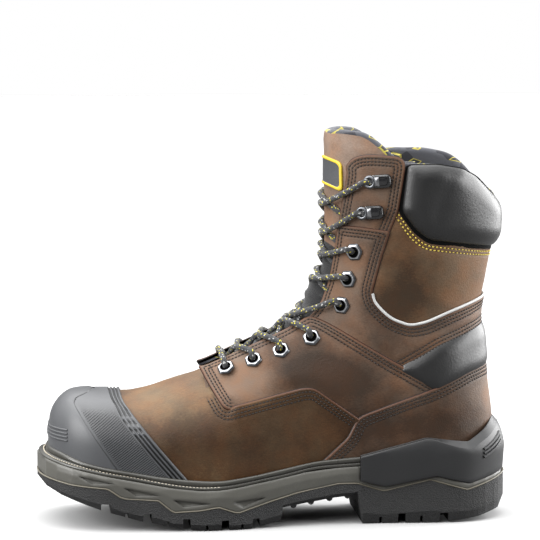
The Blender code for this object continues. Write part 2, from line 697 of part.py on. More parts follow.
def build_insole():
    low = lambda x: midsole_top_z(x) + GAP
    insole = slab("insole", low, lambda x: low(x) + 3.2, (4.0,), end_steps=4)
    return cut(insole, form("insole edge", -(WALL + GAP)), "INTERSECT")


def build_upper():
    upper = form("upper", 0.0)
    cut(upper, form("foot room", -WALL))
    cut(upper, side_block("below the feather line", lambda x: midsole_top_z(x) + GAP))
    collar = list(COLLAR_LINE) + [(175, 320), (0, 320)]
    cut(upper, prism("above the collar", collar))
    cut(upper, throat_cutter())
    return largest_body(upper)


THIN_SHELL_SOLVER = "MANIFOLD"      # the exact solver loses some of these thin shells


def panel(name, outline, face, underside=GAP, clear_throat=False, sit_on_welt=False):
    """A panel over the upper: the room between two grown forms, inside an outline seen from the side."""
    made = form(name, face)
    cut(made, form("underside", underside), solver=THIN_SHELL_SOLVER)
    if clear_throat:
        cut(made, throat_cutter(FLAP_ROW), solver=THIN_SHELL_SOLVER)
    cut(made, prism("outline", outline), "INTERSECT", solver=THIN_SHELL_SOLVER)
    if sit_on_welt:
        block = side_block("above the welt", lambda x: feather_z(x) + 2 * GAP)
        cut(made, block, solver=THIN_SHELL_SOLVER)
    return made


def half_of(obj, side, name):
    """The lateral or the medial half of a panel that the throat parts in two."""
    return largest_body(copy_of(obj, name), side)


def swelling(outline, swell):
    """Face of a padded panel: low along its outline, and full in its middle."""
    edges = [(np.array(a), np.array(b)) for a, b in zip(outline, outline[1:] + outline[:1])]
    edges = [(a, b) for a, b in edges if max(a[0], b[0]) < 160]

    def face(point):
        spot = np.array((point.x, point.z))
        nearest = 40.0
        for a, b in edges:
            along = np.clip(np.dot(spot - a, b - a) / np.dot(b - a, b - a), 0, 1)
            nearest = min(nearest, float(np.linalg.norm(spot - a - along * (b - a))))
        rise = min(nearest / 11.0, 1.0)
        return PAD_FACE + (swell - PAD_FACE) * math.sin(rise * math.pi / 2)

    return face


def build_tongue():
    tongue = form("tongue", -TONGUE_SINK)
    cut(tongue, form("tongue inside", -TONGUE_SINK - TONGUE_THICKNESS))
    cut(tongue, ribbon("tongue width", "tongue_half", throat_rows(THROAT_ROW - 0.25), back=40.0), "INTERSECT")
    over = list(TONGUE_TOP) + [(120, 232), (120, 320), (0, 320)]
    cut(tongue, prism("over the tongue", over))
    return largest_body(tongue)


def build_patch():
    rows = np.linspace(PATCH_ROWS[0], PATCH_ROWS[1], 4)
    patch = form("tongue_patch", PATCH_THICKNESS - TONGUE_SINK + GAP)
    cut(patch, form("patch underside", GAP - TONGUE_SINK))
    mesh = bmesh.new()
    rings = []
    for row in rows:
        top, base = section_line(row)
        inward = Vector((base[0] - top[0], 0, base[1] - top[1])).normalized()
        middle = place(row, 0.0, 0.0)
        narrow = 4.0 if row in (rows[0], rows[-1]) else 0.0
        half = PATCH_HALF - narrow
        corners = ((-half, -10), (half, -10), (half, 20), (-half, 20))
        rings.append([mesh.verts.new(middle + inward * depth + Vector((0, y, 0))) for y, depth in corners])
    for near, far in zip(rings, rings[1:]):
        for i in range(4):
            j = (i + 1) % 4
            mesh.faces.new((near[i], far[i], far[j], near[j]))
    mesh.faces.new(rings[0])
    mesh.faces.new(rings[-1])
    bmesh.ops.recalc_face_normals(mesh, faces=mesh.faces)
    return largest_body(cut(patch, object_from("patch outline", mesh), "INTERSECT"))


def piping_outline():
    """A narrow strip along the upper edge of the ankle band."""
    first = next(i for i, p in enumerate(ANKLE_BAND) if p == (63.1, 152.4))
    edge = [Vector(p) for p in ANKLE_BAND[first:first + 9]]
    inner, outer = [], []
    for i, point in enumerate(edge):
        along = (edge[min(i + 1, len(edge) - 1)] - edge[max(i - 1, 0)]).normalized()
        out = Vector((-along.y, along.x))
        inner.append(point + out * GAP)
        outer.append(point + out * (GAP + PIPING_WIDTH))
    return [tuple(p) for p in inner + outer[::-1]]


# Hardware and laces


def seat_frame(row, y, face):
    """A frame on the outer face of the boot: X towards the back, Y up the throat, Z out of the leather."""
    normal = top_normal(row, y)
    up = over_top(min(row + 0.1, LAST_ROW), y) - over_top(row - 0.1, y)
    up = (up - normal * up.dot(normal)).normalized()
    across = up.cross(normal).normalized()
    matrix = Matrix((across, up, normal)).transposed().to_4x4()
    matrix.translation = over_top(row, y, face)
    return matrix


def face_tree(objects):
    """The outer faces of the flaps, to set hardware down on."""
    verts, faces = [], []
    for obj in objects:
        start = len(verts)
        verts += [vert.co / MM for vert in obj.data.vertices]
        faces += [[start + i for i in polygon.vertices] for polygon in obj.data.polygons]
    return BVHTree.FromPolygons(verts, faces)


def set_down(matrix, outline, tree, clearance=0.35):
    """Moves a frame along its own Z until an outline in its plane just clears the faces below it."""
    out = matrix.to_3x3() @ Vector((0, 0, 1))
    heights = []
    for x, y in outline:
        for share in (1.0, 0.6, 0.2):
            start = matrix @ Vector((x * share, y * share, 12.0))
            hit = tree.ray_cast(start, -out, 30.0)
            if hit[0] is not None:
                heights.append(12.0 - hit[3])
    matrix.translation += out * (max(heights) + clearance)
    return matrix


def hardware_spots(spots, inset):
    """Places of a row of eyelets or hooks on each side: row of the last, and signed distance from the middle."""
    for x, z in spots:
        row = row_at(x, z)
        yield row, float(throat["half"](row)) + inset


def rings_object(name, rings, matrix):
    """A body made of rings of points that close on each other, like a ring with a hole."""
    mesh = bmesh.new()
    grid = [[mesh.verts.new(matrix @ Vector(point)) for point in ring] for ring in rings]
    size = len(grid[0])
    for near, far in zip(grid, grid[1:] + grid[:1]):
        for i in range(size):
            j = (i + 1) % size
            mesh.faces.new((near[i], near[j], far[j], far[i]))
    bmesh.ops.recalc_face_normals(mesh, faces=mesh.faces)
    return object_from(name, mesh)


FLAPS = ("quarter_lateral", "quarter_medial", "ankle_band", "hook_stay_lateral", "hook_stay_medial")


def build_eyelet(name, row, y, tree):
    matrix = seat_frame(row, y, OVERLAY + flap_lift(row, abs(y)))

    def hexagon(radius, z):
        points = []
        for i in range(12):
            angle = math.pi / 6 * i
            reach = radius if i % 2 == 0 else radius * math.cos(math.pi / 6)
            points.append((reach * math.cos(angle), reach * math.sin(angle), z))
        return points

    def circle(radius, z):
        return [(radius * math.cos(math.pi / 6 * i), radius * math.sin(math.pi / 6 * i), z) for i in range(12)]

    set_down(matrix, [point[:2] for point in hexagon(EYELET_RADIUS, 0)], tree)
    rings = (hexagon(EYELET_RADIUS, 0), hexagon(EYELET_RADIUS - EYELET_BEVEL, EYELET_HEIGHT), circle(EYELET_HOLE, 0.4))
    return rings_object(name, rings, matrix)


def plate(name, outline, z0, z1):
    mesh = bmesh.new()
    low = [mesh.verts.new((x, y, z0)) for x, y in outline]
    high = [mesh.verts.new((x, y, z1)) for x, y in outline]
    mesh.faces.new(low)
    mesh.faces.new(high)
    for i in range(len(outline)):
        j = (i + 1) % len(outline)
        mesh.faces.new((low[i], low[j], high[j], high[i]))
    bmesh.ops.recalc_face_normals(mesh, faces=mesh.faces)
    return object_from(name, mesh)


def round_bar(x0, x1, half, steps=4):
    """Outline of a plate with two round ends."""
    points = []
    for middle, start in ((x1 - half, -math.pi / 2), (x0 + half, math.pi / 2)):
        for i in range(steps):
            angle = start + math.pi * i / (steps - 1)
            points.append((middle + half * math.cos(angle), half * math.sin(angle)))
    return points


def build_hook(name, row, y, tree):
    """A lace hook: a riveted foot, and a head over it with a round opening towards the throat."""
    half = HOOK_WIDTH / 2
    back = HOOK_LENGTH - half
    hook = plate(name, round_bar(-half, back, half), 0, HOOK_SHEET)
    cut(hook, plate("neck", round_bar(half * 0.9, back, half), HOOK_SHEET * 0.5, HOOK_HEIGHT - HOOK_SHEET * 0.5), "UNION")
    cut(hook, plate("head", round_bar(-half, back, half), HOOK_HEIGHT - HOOK_SHEET, HOOK_HEIGHT), "UNION")
    hole = [(HOOK_HOLE * math.cos(math.pi / 5 * i), HOOK_HOLE * math.sin(math.pi / 5 * i)) for i in range(10)]
    cut(hook, plate("opening", hole, HOOK_HEIGHT - 2 * HOOK_SHEET, HOOK_HEIGHT + 1))
    matrix = seat_frame(row, y, OVERLAY + flap_lift(row, abs(y)))
    if y > 0:
        matrix = matrix @ Matrix.Rotation(math.pi, 4, "Z")
    set_down(matrix, round_bar(-half, back, half), tree)
    matrix.translation *= MM
    hook.data.transform(matrix)
    return hook


def strand(name, points):
    """A lace along a few points, as a tube with flat ends."""
    path = smooth_path(points)
    mesh = bmesh.new()
    rings = []
    normal = Vector((0.3, 0.2, 1)).normalized()
    for i, point in enumerate(path):
        along = (path[min(i + 1, len(path) - 1)] - path[max(i - 1, 0)]).normalized()
        normal = (normal - along * normal.dot(along)).normalized()
        across = along.cross(normal)
        ring = []
        for k in range(LACE_SIDES):
            angle = math.tau * k / LACE_SIDES
            ring.append(mesh.verts.new(point + (normal * math.cos(angle) + across * math.sin(angle)) * LACE_RADIUS))
        rings.append(ring)
    for near, far in zip(rings, rings[1:]):
        for i in range(LACE_SIDES):
            j = (i + 1) % LACE_SIDES
            mesh.faces.new((near[i], near[j], far[j], far[i]))
    mesh.faces.new(rings[0])
    mesh.faces.new(rings[-1])
    bmesh.ops.recalc_face_normals(mesh, faces=mesh.faces)
    return object_from(name, mesh)


def smooth_path(points, steps=2):
    """A curve through the points, with a few more between them."""
    points = [points[0] * 2 - points[1]] + list(points) + [points[-1] * 2 - points[-2]]
    path = []
    for p0, p1, p2, p3 in zip(points, points[1:], points[2:], points[3:]):
        for i in range(steps):
            t = i / steps
            path.append(0.5 * (2 * p1 + (p2 - p0) * t + (2 * p0 - 5 * p1 + 4 * p2 - p3) * t * t
                               + (3 * p1 - p0 - 3 * p2 + p3) * t ** 3))
    return path + [points[-2]]


def lace_rise(row, offset, settle):
    """Height of a lace's middle over the last where it lies on a flap."""
    return OVERLAY + flap_lift(row, offset) + LACE_RADIUS + settle


def crossing_strand(name, low_row, high_row, side, start_inset, settle):
    """From beside the upper eyelet, over the flap's edge, across the throat and down to the far flap's edge."""
    edge = float(throat["half"](high_row))
    far_row = low_row + 0.15 * (high_row - low_row)
    middle_row = low_row + 0.28 * (high_row - low_row)
    far_edge = float(throat["half"](far_row))
    rise = lace_rise(high_row, edge, settle)
    points = [
        over_top(high_row, side * (edge + start_inset), lace_rise(high_row, edge + start_inset, settle)),
        over_top(high_row * 0.9 + middle_row * 0.1, side * (edge - 1.0), rise),
        over_top(high_row * 0.5 + middle_row * 0.5, side * edge * 0.5, rise * 0.5 + 0.6),
        over_top(middle_row, 0.0, LACE_OVER_TONGUE + 0.3 * flap_lift(middle_row, 0.0)),
        over_top(far_row, -side * (far_edge - 3.4), LACE_OVER_TONGUE + 0.3 * flap_lift(far_row, 0.0)),
    ]
    return strand(name, points)


def lace_crossing(name, low_row, high_row, inset, settle):
    crossing = crossing_strand(name, low_row, high_row, -1, inset, settle)
    return cut(crossing, crossing_strand("other strand", low_row, high_row, 1, inset, settle), "UNION")


def lace_bar(name, row, settle):
    """The lowest run, straight across from flap to flap."""
    edge = float(throat["half"](row))
    ys = (-(edge + 2.0), -(edge - 1), -edge / 2, 0.0, edge / 2, edge - 1, edge + 2.0)
    heights = [lace_rise(row, abs(y), settle) if abs(y) > edge - 5 else LACE_BAR_RISE for y in ys]
    return strand(name, [over_top(row, y, height) for y, height in zip(ys, heights)])


def nearest_face(obj, tree):
    """How close a mesh comes to the faces of a tree, at its points and along its edges."""
    points = [vert.co for vert in obj.data.vertices]
    for edge in obj.data.edges:
        first, last = (points[i] for i in edge.vertices)
        points += [first.lerp(last, share) for share in (0.25, 0.5, 0.75)]
    return min(tree.find_nearest(point / MM)[3] for point in points)


def settled(make, tree):
    """Makes a lace, then makes it again closer to the leather until it all but rests on it."""
    settle = 1.1
    obj = make(settle)
    for _ in range(5):
        gap = nearest_face(obj, tree)
        if abs(gap - LACE_GAP) < 0.12:
            break
        bpy.data.objects.remove(obj)
        settle -= gap - LACE_GAP
        obj = make(settle)
    return obj


def build_laces(cord, tree):
    spots = list(hardware_spots(EYELETS, EYELET_INSET)) + list(hardware_spots(HOOKS, HOOK_INSET))
    first = spots[0][0]
    finish(settled(lambda settle: lace_bar("lace_bar", first, settle), tree), "lace_bar", cord)
    for i, ((low, _), (high, _)) in enumerate(zip(spots, spots[1:])):
        name = f"lace_crossing_{i + 1}"
        inset = 2.4 if i < len(EYELETS) - 1 else 1.6

        def make(settle):
            return lace_crossing(name, low, high, inset, settle)

        finish(settled(make, tree), name, cord)


def build():
    clear_scene()
    leather = material("oiled_leather", LEATHER, 0.55)
    rubber = material("black_rubber", RUBBER, 0.75)
    grey = material("grey_rubber", GREY, 0.6)
    padded = material("padded_synthetic", BLACK_SYNTHETIC, 0.35)
    cord = material("lace_cord", (0.05, 0.05, 0.05), 0.8)
    steel = material("hardware_metal", (0.35, 0.35, 0.36), 0.35, 1.0)
    finish(build_outsole(), "outsole", rubber)
    finish(build_midsole(), "midsole", grey)
    finish(build_welt(), "welt", material("welt_rubber", (0.12, 0.12, 0.11), 0.4))
    finish(build_stabilizer(), "heel_stabilizer", material("stabilizer_rubber", (0.04, 0.042, 0.045), 0.5))
    finish(build_insole(), "insole", material("insole_foam", (0.08, 0.08, 0.08), 0.9))
    finish(build_upper(), "upper", leather)
    finish(build_tongue(), "tongue", material("tongue_leather", LEATHER, 0.6))
    finish(build_patch(), "tongue_patch", material("tongue_patch_rubber", (0.06, 0.06, 0.065), 0.6))
    toe_cap = panel("toe_cap", TOE_CAP, TOE_CAP_FACE, sit_on_welt=True)
    finish(largest_body(toe_cap), "toe_cap", material("toe_cap_rubber", (0.05, 0.05, 0.052), 0.6))
    counter = panel("heel_counter", COUNTER, COUNTER_FACE, sit_on_welt=True)
    finish(largest_body(counter), "heel_counter", leather)
    quarters = panel("quarters", QUARTER, flap_face, flap_underside, clear_throat=True)
    stays = panel("hook stays", HOOK_STAY, flap_face, flap_underside, clear_throat=True)
    for side, name in ((-1, "lateral"), (1, "medial")):
        finish(half_of(quarters, side, f"quarter_{name}"), f"quarter_{name}", leather)
        finish(half_of(stays, side, f"hook_stay_{name}"), f"hook_stay_{name}", leather)
    bpy.data.objects.remove(quarters)
    bpy.data.objects.remove(stays)
    band = panel("ankle_band", ANKLE_BAND, flap_face, flap_underside, clear_throat=True)
    finish(largest_body(band), "ankle_band", leather)
    collar = panel("collar_pad", COLLAR_PAD, swelling(COLLAR_PAD, COLLAR_SWELL))
    finish(largest_body(collar), "collar_pad", padded)
    achilles = panel("achilles_pad", ACHILLES_PAD, swelling(ACHILLES_PAD, ACHILLES_SWELL))
    finish(largest_body(achilles), "achilles_pad", padded)
    piping = panel("piping", piping_outline(), PIPING_FACE)
    finish(largest_body(piping), "piping", material("piping_reflective", (0.55, 0.56, 0.57), 0.4))
    tree = face_tree([obj for obj in bpy.data.objects if obj.name in FLAPS])
    for i, (row, y) in enumerate(hardware_spots(EYELETS, EYELET_INSET)):
        for side, name in ((-1, "lateral"), (1, "medial")):
            finish(build_eyelet("eyelet", row, side * y, tree), f"eyelet_{name}_{i + 1}", steel)
    for i, (row, y) in enumerate(hardware_spots(HOOKS, HOOK_INSET)):
        for side, name in ((-1, "lateral"), (1, "medial")):
            finish(build_hook("hook", row, side * y, tree), f"hook_{name}_{i + 1}", steel)
    build_laces(cord, tree)


build()
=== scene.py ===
# %% [markdown]
# This lesson dresses a packed safety boot. The solids come in as a fixed frame, in metres, with the toe
# towards -X, the outer side of the left foot towards -Y, and the floor at z = 0. Each step builds one
# piece over its solid, in millimetres, and gives it a finish made of nodes.

# %% Frame, camera and tools
import math

import bmesh
import bpy
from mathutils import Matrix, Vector
from mathutils.geometry import delaunay_2d_cdt
import numpy as np


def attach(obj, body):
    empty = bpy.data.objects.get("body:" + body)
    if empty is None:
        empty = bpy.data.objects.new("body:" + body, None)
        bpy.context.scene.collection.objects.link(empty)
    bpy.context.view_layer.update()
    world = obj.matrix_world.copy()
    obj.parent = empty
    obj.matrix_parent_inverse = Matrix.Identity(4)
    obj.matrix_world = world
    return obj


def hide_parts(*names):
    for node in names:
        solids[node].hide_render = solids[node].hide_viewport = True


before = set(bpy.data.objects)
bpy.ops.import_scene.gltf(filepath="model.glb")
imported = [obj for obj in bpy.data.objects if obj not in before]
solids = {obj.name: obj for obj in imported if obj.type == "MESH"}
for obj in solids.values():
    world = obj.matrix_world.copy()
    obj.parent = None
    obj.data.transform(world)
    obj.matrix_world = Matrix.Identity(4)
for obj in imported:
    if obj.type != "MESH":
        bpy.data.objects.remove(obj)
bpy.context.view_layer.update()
scene = bpy.context.scene
MM = 0.001
print("solids:", len(solids))

# %% [markdown]
# The photograph looks at the outer side of the boot with a long lens, a little from the toe and a little
# from above. A camera two metres away with a 200 mm lens gives the same small perspective. The shift only
# moves the boot down in the square picture, as it sits there.

# %% Camera
CAMERA_YAW, CAMERA_RISE, CAMERA_DISTANCE = math.radians(5), math.radians(7), 2.0
CAMERA_TARGET = Vector((0, 0, 0.128))
SENSOR, LENS, SHIFT = 36.0, 200.94, (-0.0034, 0.1)

away = Vector((-math.sin(CAMERA_YAW) * math.cos(CAMERA_RISE),
               -math.cos(CAMERA_YAW) * math.cos(CAMERA_RISE),
               math.sin(CAMERA_RISE)))
camera_data = bpy.data.cameras.new("camera")
camera_data.sensor_width = SENSOR
camera_data.lens = LENS
camera_data.shift_x, camera_data.shift_y = SHIFT
camera = bpy.data.objects.new("camera", camera_data)
camera.location = CAMERA_TARGET + away * CAMERA_DISTANCE
camera.rotation_euler = (-away).to_track_quat("-Z", "Y").to_euler()
scene.collection.objects.link(camera)
scene.camera = camera

# %% [markdown]
# Light and finishes are both made of nodes. A small class keeps the scripts for them short: it places a
# node, sets its plain values, and joins it where the value is another node's socket.

# %% Nodes
class Tree:
    """A short way to place nodes and join them."""

    def __init__(self, tree):
        self.tree = tree

    def join(self, value, socket):
        """Joins a socket to another one, or sets it to a plain value."""
        if isinstance(value, bpy.types.NodeSocket):
            self.tree.links.new(value, socket)
        else:
            socket.default_value = value

    def node(self, kind, values=None, **settings):
        made = self.tree.nodes.new(kind)
        for name, value in settings.items():
            setattr(made, name, value)
        for name, value in (values or {}).items():
            self.join(value, made.inputs[name])
        return made

    def math(self, operation, a, b=0.0, clamp=False):
        return self.node("ShaderNodeMath", {0: a, 1: b}, operation=operation, use_clamp=clamp).outputs[0]

    def vector(self, operation, a, b):
        return self.node("ShaderNodeVectorMath", {0: a, 1: b}, operation=operation).outputs

    def mix(self, factor, a, b, blend="MIX"):
        values = {0: factor, 6: a, 7: b}
        return self.node("ShaderNodeMix", values, data_type="RGBA", blend_type=blend).outputs[2]

    def range(self, value, low, high, to_low=0.0, to_high=1.0):
        names = ("Value", "From Min", "From Max", "To Min", "To Max")
        values = dict(zip(names, (value, low, high, to_low, to_high)))
        return self.node("ShaderNodeMapRange", values).outputs[0]

    def noise(self, place, scale, detail=2.0, roughness=0.5):
        values = {"Vector": place, "Scale": scale, "Detail": detail, "Roughness": roughness}
        return self.node("ShaderNodeTexNoise", values).outputs["Fac"]

    def place(self, scale=(1, 1, 1), turn=(0, 0, 0), shift=(0, 0, 0)):
        coordinates = self.node("ShaderNodeTexCoord").outputs["Object"]
        values = {"Vector": coordinates, "Scale": scale, "Rotation": turn, "Location": shift}
        return self.node("ShaderNodeMapping", values).outputs[0]

    def shown_to_camera(self, lit, seen, surface):
        """Gives a surface one shader for the light it throws, and another for the camera."""
        camera_ray = self.node("ShaderNodeLightPath").outputs["Is Camera Ray"]
        either = self.node("ShaderNodeMixShader", {0: camera_ray, 1: lit, 2: seen})
        self.join(either.outputs[0], surface)


def grey(value):
    return (value, value, value, 1)

# %% [markdown]
# A studio for footwear hangs a wide bank of light overhead and keeps the camera's side dark. Tops shine,
# sides fall off into deep colour, and black pieces stay black. The sky below is that bank: a dome whose
# strength grows steeply towards one direction above the toe. Soft boxes at the toe and the heel draw the
# long highlights, and a wide one behind the heel draws the bright rim of the pads. The camera sees plain
# white.

# %% Studio
scene.view_settings.view_transform = "Standard"
scene.view_settings.look = "None"
BANK_AIM, BANK_STRENGTH, BANK_FALL, DARK_SIDE = (-0.24, 0.12, 0.96), 6.9, 3.2, 0.04
WHITE = grey(1)
world = bpy.data.worlds.new("studio")
world.use_nodes = True
sky = Tree(world.node_tree)
direction = sky.node("ShaderNodeTexCoord").outputs["Generated"]
towards = sky.vector("DOT_PRODUCT", direction, BANK_AIM)["Value"]
steep = sky.math("POWER", sky.math("MAXIMUM", towards, 0.0), BANK_FALL)
values = {0: steep, 1: BANK_STRENGTH, 2: DARK_SIDE}
strength = sky.node("ShaderNodeMath", values, operation="MULTIPLY_ADD").outputs[0]
bank = world.node_tree.nodes["Background"]
sky.join(WHITE, bank.inputs["Color"])
sky.join(strength, bank.inputs["Strength"])
backdrop = sky.node("ShaderNodeBackground", {"Color": WHITE}).outputs[0]
sky.shown_to_camera(bank.outputs[0], backdrop, world.node_tree.nodes["World Output"].inputs["Surface"])
scene.world = world


def soft_box(name, place, aim, size, power):
    data = bpy.data.lights.new(name, "AREA")
    data.shape = "RECTANGLE"
    data.size, data.size_y = size
    data.energy = power
    box = bpy.data.objects.new(name, data)
    box.location = place
    box.rotation_euler = (Vector(aim) - Vector(place)).to_track_quat("-Z", "Y").to_euler()
    scene.collection.objects.link(box)


soft_box("toe box", (-1.5, -0.62, 0.72), (0, 0, 0.12), (0.8, 1.1), 33)
soft_box("front box", (-0.6, -1.5, 1.1), (0, 0, 0.12), (0.8, 0.8), 7)
soft_box("heel box", (1.55, -0.5, 0.55), (0.08, 0, 0.17), (0.8, 1.1), 22)
soft_box("rim box", (1.45, 0.6, 0.5), (0.08, 0, 0.17), (1.6, 1.5), 62)

# %% [markdown]
# The floor is a plain pale sheet that runs far past the picture, so no horizon shows. Its paint throws
# little light back on the boot, as if dark cards lay round it just outside the picture. That keeps the
# sole's sides deep.

# %% Floor
FLOOR_HALF, FLOOR_DROP = 6.0, 0.0004
floor_mesh = bmesh.new()
bmesh.ops.create_grid(floor_mesh, x_segments=2, y_segments=2, size=FLOOR_HALF)
floor_data = bpy.data.meshes.new("floor")
floor_mesh.to_mesh(floor_data)
floor_mesh.free()
floor = bpy.data.objects.new("floor", floor_data)
floor.location.z = -FLOOR_DROP
scene.collection.objects.link(floor)
paint = bpy.data.materials.new("pale floor")
paint.use_nodes = True
paper = Tree(paint.node_tree)
shown = paint.node_tree.nodes["Principled BSDF"]
for label, value in (("Base Color", grey(0.42)), ("Roughness", 0.8), ("Specular IOR Level", 0.0)):
    paper.join(value, shown.inputs[label])
bounced = paper.node("ShaderNodeBsdfDiffuse", {"Color": grey(0.13)})
surface = paint.node_tree.nodes["Material Output"].inputs["Surface"]
paper.shown_to_camera(bounced.outputs[0], shown.outputs[0], surface)
floor_data.materials.append(paint)

# %% [markdown]
# Every panel of a boot is cut to lie on one wooden form, the last. The solids were made from sections of
# that last, given here again: each runs from a point on the top line (vamp, instep, shin) to a point on
# the base line (under the sole's edge, then up the back of the heel). Smooth curves through the table
# give a point for any row t and any place v across: -1 is the outer base, 0 the top line and 1 the inner
# base.

# %% The last
TOE_X, TOE_DEPTH, TOE_POWER = -145.5, 46.0, 2.4
HEEL_X, HEEL_DEPTH, HEEL_POWER = 146.5, 35.0, 2.0
SECTION_NAMES = "top_x top_z base_x base_z lateral medial centre widest square".split()
SECTIONS = (
    (-145.5, 57, -145.5, 37, 46, 44, 6.0, 0.60, 2.3),
    (-144.2, 68, -144.2, 36.5, 46, 44, 5.9, 0.60, 2.3),
    (-139.8, 76.5, -139.8, 35, 46, 44, 5.7, 0.60, 2.35),
    (-131, 82.5, -131, 32, 46, 44, 5.2, 0.60, 2.4),
    (-117, 83.6, -117, 29, 46.5, 44.4, 4.2, 0.60, 2.4),
    (-97, 83.6, -97, 25.5, 48, 45.2, 3.0, 0.62, 2.3),
    (-72, 90, -70, 21.5, 50, 46.6, 1.5, 0.64, 2.15),
    (-45, 99.5, -40, 19, 49, 44, 0.0, 0.66, 2.0),
    (-15, 116, -5, 23.5, 43, 38.5, 0.0, 0.66, 1.95),
    (10, 131, 35, 30, 37.5, 36, 0.0, 0.62, 1.9),
    (20, 139.5, 80, 33, 35.5, 35, 0.0, 0.60, 1.9),
    (24.5, 146, 118, 35, 35, 35, 0.0, 0.58, 1.95),
    (27.5, 152, 146.5, 35, 35.5, 35.5, 0.0, 0.56, 2.0),
    (29.5, 158, 146, 62, 36, 36, 0.0, 0.55, 2.0),
    (31, 165, 143, 88, 36, 36.5, 0.0, 0.53, 2.0),
    (32.2, 176, 139.6, 112, 36.5, 37, 0.0, 0.50, 2.0),
    (32.4, 192, 138, 134, 37.5, 38, 0.0, 0.50, 2.0),
    (32, 212, 143, 162, 39.5, 40, 0.0, 0.50, 2.0),
    (32, 233, 147, 190, 41.5, 42, 0.0, 0.50, 2.0),
    (32, 252, 148, 216, 42.5, 43, 0.0, 0.50, 2.0),
    (33, 268, 148, 244, 42.5, 43, 0.0, 0.50, 2.0),
)
LAST_ROW = len(SECTIONS) - 1
HEEL_CORNER_ROW = 12
UPPER_SHARE = 4 / 7       # share of v spent between the top line and the widest point
LATERAL, MEDIAL = -1, 1
SIDES = ((LATERAL, "lateral"), (MEDIAL, "medial"))

# Plan of the feather line: x, outer and inner half-width, middle, and how far the sole stands out.
PLAN_NAMES = "lateral medial centre margin".split()
PLAN = (
    (-145.5, 46.0, 44.0, 6.0, 10.5), (-97.0, 47.0, 44.2, 3.0, 8.0), (-70.0, 49.5, 46.0, 1.5, 7.0),
    (-40.0, 48.5, 42.5, 0.0, 7.0), (-5.0, 42.0, 35.0, 0.0, 6.0), (35.0, 35.0, 31.0, 0.0, 5.5),
    (80.0, 33.0, 32.0, 0.0, 6.0), (111.5, 33.0, 33.0, 0.0, 7.0), (146.5, 33.0, 33.0, 0.0, 9.0),
)
FEATHER_Z = ((-156, 49.5), (-145.5, 48.3), (-125, 42.3), (-95, 37), (-58, 32), (-41, 31), (-18, 33.3),
             (0.4, 36.5), (29, 41.4), (54, 43.3), (100, 46), (157, 47))
MIDSOLE_TOP_Z = ((-157, 45), (-137, 40.5), (-98, 33), (-46, 25.8), (0, 31.5), (28, 36.6), (54, 38),
                 (100, 41), (157, 42))
# Throat: row, half-width of the opening, half-width of the tongue, and lift of the flaps at its edge.
THROAT = ((6.4, 13.5, 20.0, 5.5), (8.0, 15.5, 22.0, 4.5), (9.5, 14.5, 21.5, 2.5), (12.0, 14.5, 22.0, 0.8),
          (14.0, 16.5, 24.0, 0.4), (16.0, 21.0, 28.0, 0.4), (18.0, 28.0, 33.0, 0.4), (20.0, 32.0, 36.0, 0.4))
THROAT_ROW = 6.95
THROAT_LIFT_REACH = 20.0


def smooth_table(xs, ys):
    """A function through the points, with no overshoot between them."""
    xs, ys = np.asarray(xs, float), np.asarray(ys, float)
    step, rise = np.diff(xs), np.diff(ys) / np.diff(xs)
    slope = np.zeros(len(xs))
    slope[0], slope[-1] = rise[0], rise[-1]
    for i in range(1, len(xs) - 1):
        if rise[i - 1] * rise[i] > 0:
            w0, w1 = 2 * step[i] + step[i - 1], step[i] + 2 * step[i - 1]
            slope[i] = (w0 + w1) / (w0 / rise[i - 1] + w1 / rise[i])

    def value(x):
        x = np.clip(np.asarray(x, float), xs[0], xs[-1])
        i = np.clip(np.searchsorted(xs, x) - 1, 0, len(xs) - 2)
        h = step[i]
        t = (x - xs[i]) / h
        return (ys[i] * (1 + 2 * t) * (1 - t) ** 2 + h * slope[i] * t * (1 - t) ** 2
                + ys[i + 1] * t * t * (3 - 2 * t) + h * slope[i + 1] * t * t * (t - 1))

    return value


def columns(names, table, keys):
    return {name: smooth_table(keys, [row[i] for row in table]) for i, name in enumerate(names)}


section = columns(SECTION_NAMES, SECTIONS, range(len(SECTIONS)))
plan = columns(PLAN_NAMES, [row[1:] for row in PLAN], [row[0] for row in PLAN])
throat = columns(("half", "tongue_half", "lift"), [row[1:] for row in THROAT], [row[0] for row in THROAT])
feather_z = smooth_table(*zip(*FEATHER_Z))
midsole_top_z = smooth_table(*zip(*MIDSOLE_TOP_Z))


def toe_rounding(x):
    """From 0 at the toe's end of the plan to 1 along its sides."""
    toe = np.clip((TOE_X + TOE_DEPTH - x) / TOE_DEPTH, 0, 1)
    return (1 - toe**TOE_POWER) ** (1 / TOE_POWER)


def end_rounding(x):
    """From 0 at the two ends of the plan to 1 along its sides."""
    heel = np.clip((x - HEEL_X + HEEL_DEPTH) / HEEL_DEPTH, 0, 1)
    return toe_rounding(x) * (1 - heel**HEEL_POWER) ** (1 / HEEL_POWER)


def side_of(v):
    return np.where(np.asarray(v) < 0, LATERAL, MEDIAL)


def by_side(table, at, v):
    return np.where(np.asarray(v) < 0, table["lateral"](at), table["medial"](at))


def section_girth(t, v):
    """Half-width, half-width at the foot, and angle at the foot, of the section's half that v lies on."""
    base_x = section["base_x"](t)
    half = by_side(section, t, v) * toe_rounding(base_x)
    foot = np.where(t >= HEEL_CORNER_ROW, 0.0, 0.97 * by_side(plan, base_x, v) * end_rounding(base_x))
    foot = np.minimum(foot, half)
    cut = 1 - (foot / np.maximum(half, 1e-9)) ** 2
    return half, foot, np.arcsin(np.sqrt(np.clip(cut, 1e-4, 1)))


def ends_of(t):
    top = np.stack([section["top_x"](t), section["top_z"](t)], -1)
    base = np.stack([section["base_x"](t), section["base_z"](t)], -1)
    return top, base


